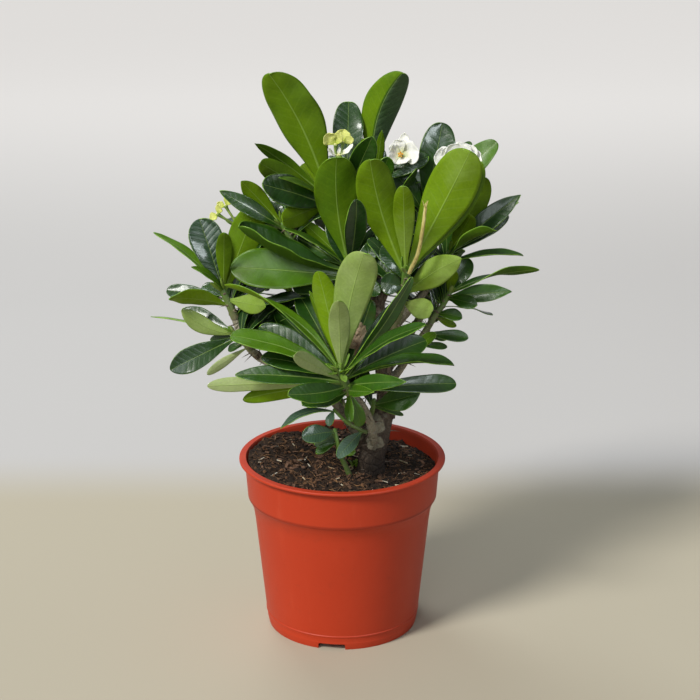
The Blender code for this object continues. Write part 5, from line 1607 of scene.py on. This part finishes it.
stub = bmesh.new()
upright = Matrix.Translation((STUB_RADIUS, 0, 0)) @ Matrix.Rotation(math.pi / 2, 4, "X")
bmesh.ops.create_circle(stub, segments=20, radius=STUB_RIM, matrix=upright)
spun(stub, 32)
lean = Matrix.Translation(sighted(*CUT_STUB)) @ Matrix.Rotation(math.radians(55), 4, "X")
bmesh.ops.transform(stub, matrix=lean, verts=stub.verts[:])
tan = plain_finish("cut_stub", (0.36, 0.27, 0.15), (0.52, 0.42, 0.26), 400.0)
add_piece("cut_stub", stub, [tan], "sprout_in_soil")
sprig = blade_sheets()
for index in range(6):
    aside = (look_draw.uniform(-2, 2), look_draw.uniform(-1.5, 1.5), -1)
    root = sighted(*SPRIG) + Vector(aside)
    out = (look_draw.uniform(-3, 3), look_draw.uniform(-3, 1), look_draw.uniform(3, 7))
    tip = root + Vector(out)
    leaf = Blade(look_draw.uniform(1.6, 2.8), 0.5, 15, 0.6, 0.7)
    normal = (tip - root).normalized().orthogonal().normalized()
    add_blade(sprig, leaf, root, tip, normal, look_draw.uniform(0.4, 1.2), SPRIG_GRID)
add_sheets("soil_sprig", "sprout_in_soil", sprig, leaf_skins, LEAF_SHEET)


# A bloom is a short stalk that widens into a cup. Petal-like bracts open from the cup, and round
# its mouth sit a few nectar glands and stamens. Young ones are pale yellow and old ones white.
BRACT_SHEET = 0.4
BRACT_GRID = (14, 18)
BRACT_FOLD = 14
BRACT_BOW = -0.1
CUP_GLANDS = 7
CUP_GLAND_RADIUS = 0.36


def bract_finish(name, base, edge, glow=0.25):
    """A soft petal: colour from its foot to its edge, faint veins and a fine velvety grain."""
    finish = Finish(
        name,
        Subsurface_Weight=glow,
        Subsurface_Radius=(0.8, 0.8, 0.6),
        Subsurface_Scale=0.0015,
        Specular_IOR_Level=0.2,
    )
    share = finish.mark("leaf", "Color").part(0, "Color")
    along, across = finish.on_blade()
    stripe = (across * 2.2 - along * 0.5).to_and_fro(0.5)
    clouds = finish.noise(350.0, 4.0)
    colour = finish.mix((share + (clouds - 0.5) * 0.3).between(0.05, 0.6), base, edge)
    finish.relief(stripe * 0.5 + clouds * 0.6, 0.0002)
    return finish.coat(Base_Color=colour, Roughness=0.5 + clouds * 0.15)


bract_skins = {
    "bract": bract_finish("bract_white", (0.52, 0.56, 0.26), (0.84, 0.83, 0.76)),
    "young_bract": bract_finish("bract_yellow", (0.36, 0.44, 0.05), (0.66, 0.68, 0.20)),
    "withered": bract_finish("bract_withered", (0.20, 0.12, 0.07), (0.58, 0.44, 0.29), 0.0),
}
stalk_skin = plain_finish("flower_stalk", (0.17, 0.27, 0.05), (0.32, 0.42, 0.10), 260.0, 0.5)
gland_skin = plain_finish("nectar_gland", (0.62, 0.24, 0.012), (0.90, 0.50, 0.04), 900.0, 0.3)
stamen_skin = plain_finish("stamen", (0.62, 0.60, 0.28), (0.85, 0.80, 0.40), 900.0, 0.4)

for flower in BLOOMS:
    route = [sighted(*place) for place in flower.stem]
    cup = route[-1]
    way = (cup - route[-2]).normalized()
    slot = flower.colour
    fine = smooth_route(route, 6)
    last = len(fine) - 1
    swell = [flower.girth * (0.8 + 0.7 * (index / last) ** 4) for index in range(last + 1)]
    stalks = bmesh.new()
    strand(stalks, [*fine, cup + way * 0.6], [*swell, flower.girth * 1.1], 12)
    for corner in stalks.verts:
        corner.co += noise.noise_vector(corner.co * 0.8) * 0.12
    skin = bract_skins["withered"] if slot == "withered" else stalk_skin
    add_piece(flower.name + "_stalk", stalks, [skin], flower.name)
    facing = Vector(flower.facing).normalized()
    sheets = blade_sheets()
    for bract in flower.bracts:
        tip = sighted(bract.across, bract.up, bract.toward)
        normal = square_to(facing, (tip - cup).normalized())
        bow = BRACT_BOW * (tip - cup).length
        form = Blade(bract.width, bow, BRACT_FOLD, bract.belly, bract.point)
        add_blade(sheets, form, cup, tip, normal, 0.0, BRACT_GRID)
    ruffles = ((0.5, 1.3), (1.6, 0.45)) if slot == "withered" else ((0.3, 0.7),)
    for corner in sheets.verts:
        for scale, depth in ruffles:
            corner.co += noise.noise_vector(corner.co * scale) * depth
    skins = [bract_skins[slot]]
    add_sheets(flower.name + "_bracts", flower.name, sheets, skins, BRACT_SHEET)
    if slot == "withered" or flower.name == "bloom_open":
        continue
    mouth = cup + (facing + way).normalized() * 0.9
    glands = bmesh.new()
    for index in range(CUP_GLANDS):
        foot = mouth + spoke(way, index * GOLDEN_ANGLE) * flower.girth * 0.55
        ball(glands, foot, CUP_GLAND_RADIUS)
    add_piece(flower.name + "_glands", glands, [stamen_skin], flower.name)


# The open bloom's middle is a cushion of orange-yellow nectar glands round a tuft of stamens. It
# grows in the mouth of the bloom's cup.
GLAND_COUNT = 5
GLAND_RADIUS = 0.55
STAMEN_COUNT = 9
STAMEN_RADII = (0.08, 0.06)
ANTHER_RADIUS = 0.17

place, radius = OPEN_CENTRE
centre = sighted(*place)
facing = (EYE - centre).normalized()
glands = bmesh.new()
ball(glands, centre - facing * 0.3, radius * 0.75, 3)
for index in range(GLAND_COUNT):
    out = spoke(facing, index * 2 * math.pi / GLAND_COUNT)
    ball(glands, centre + out * radius * 0.85 + facing * 0.15, GLAND_RADIUS, 3)
for corner in glands.verts:
    corner.co += noise.noise_vector(corner.co * 2.0) * 0.12
add_piece("open_glands", glands, [gland_skin], "bloom_open_centre")
tuft = bmesh.new()
for index in range(STAMEN_COUNT):
    out = spoke(facing, index * GOLDEN_ANGLE)
    foot = centre + out * 0.12 * index + facing * 0.3
    head = foot + facing * 0.9 + out * 0.15
    strand(tuft, [foot, foot.lerp(head, 0.5), head], STAMEN_RADII)
    ball(tuft, head, ANTHER_RADIUS)
add_piece("open_stamens", tuft, [stamen_skin], "bloom_open_centre")


# A dead flower stalk stands in front of the big leaves: dry, straw yellow, split into long fibres
# and frayed pale where its flower broke off.
def straw_finish():
    """Straw with long upright fibres."""
    finish = Finish("straw", Specular_IOR_Level=0.3)
    fibre = finish.noise(900.0, 4.0, 0.6, finish.stretched((1.0, 1.0, 0.06)))
    clouds = finish.noise(120.0, 4.0)
    colour = finish.ramp(
        fibre * 0.7 + clouds * 0.3,
        (0.3, (0.22, 0.15, 0.04)),
        (0.5, (0.52, 0.44, 0.15)),
        (0.7, (0.70, 0.64, 0.30)),
    )
    finish.relief(fibre, 0.0003)
    return finish.coat(Base_Color=colour, Roughness=0.72)


stalk = bmesh.new()
route = route_of(DRY_STALK, 10)
strand(stalk, route, DRY_STALK_GIRTH, 16)
for corner in stalk.verts:
    x, y, z = corner.co
    corner.co += noise.noise_vector(Vector((x, y, z * 0.2)) * 1.6) * 0.22
root = route[-1] - Vector((0, 0, 0.8))
for place in FRAYED_ENDS:
    end = sighted(*place)
    for _ in range(3):
        aside = (look_draw.gauss(0, 0.5), look_draw.gauss(0, 0.5), look_draw.uniform(-1.2, 0.3))
        slip = Vector(aside)
        middle = root.lerp(end, 0.5) + slip * 0.4
        strand(stalk, smooth_route([root, middle, end + slip], 4), (0.42, 0.1))
add_piece("dry_stalk_fibres", stalk, [straw_finish()], "dry_stalk")
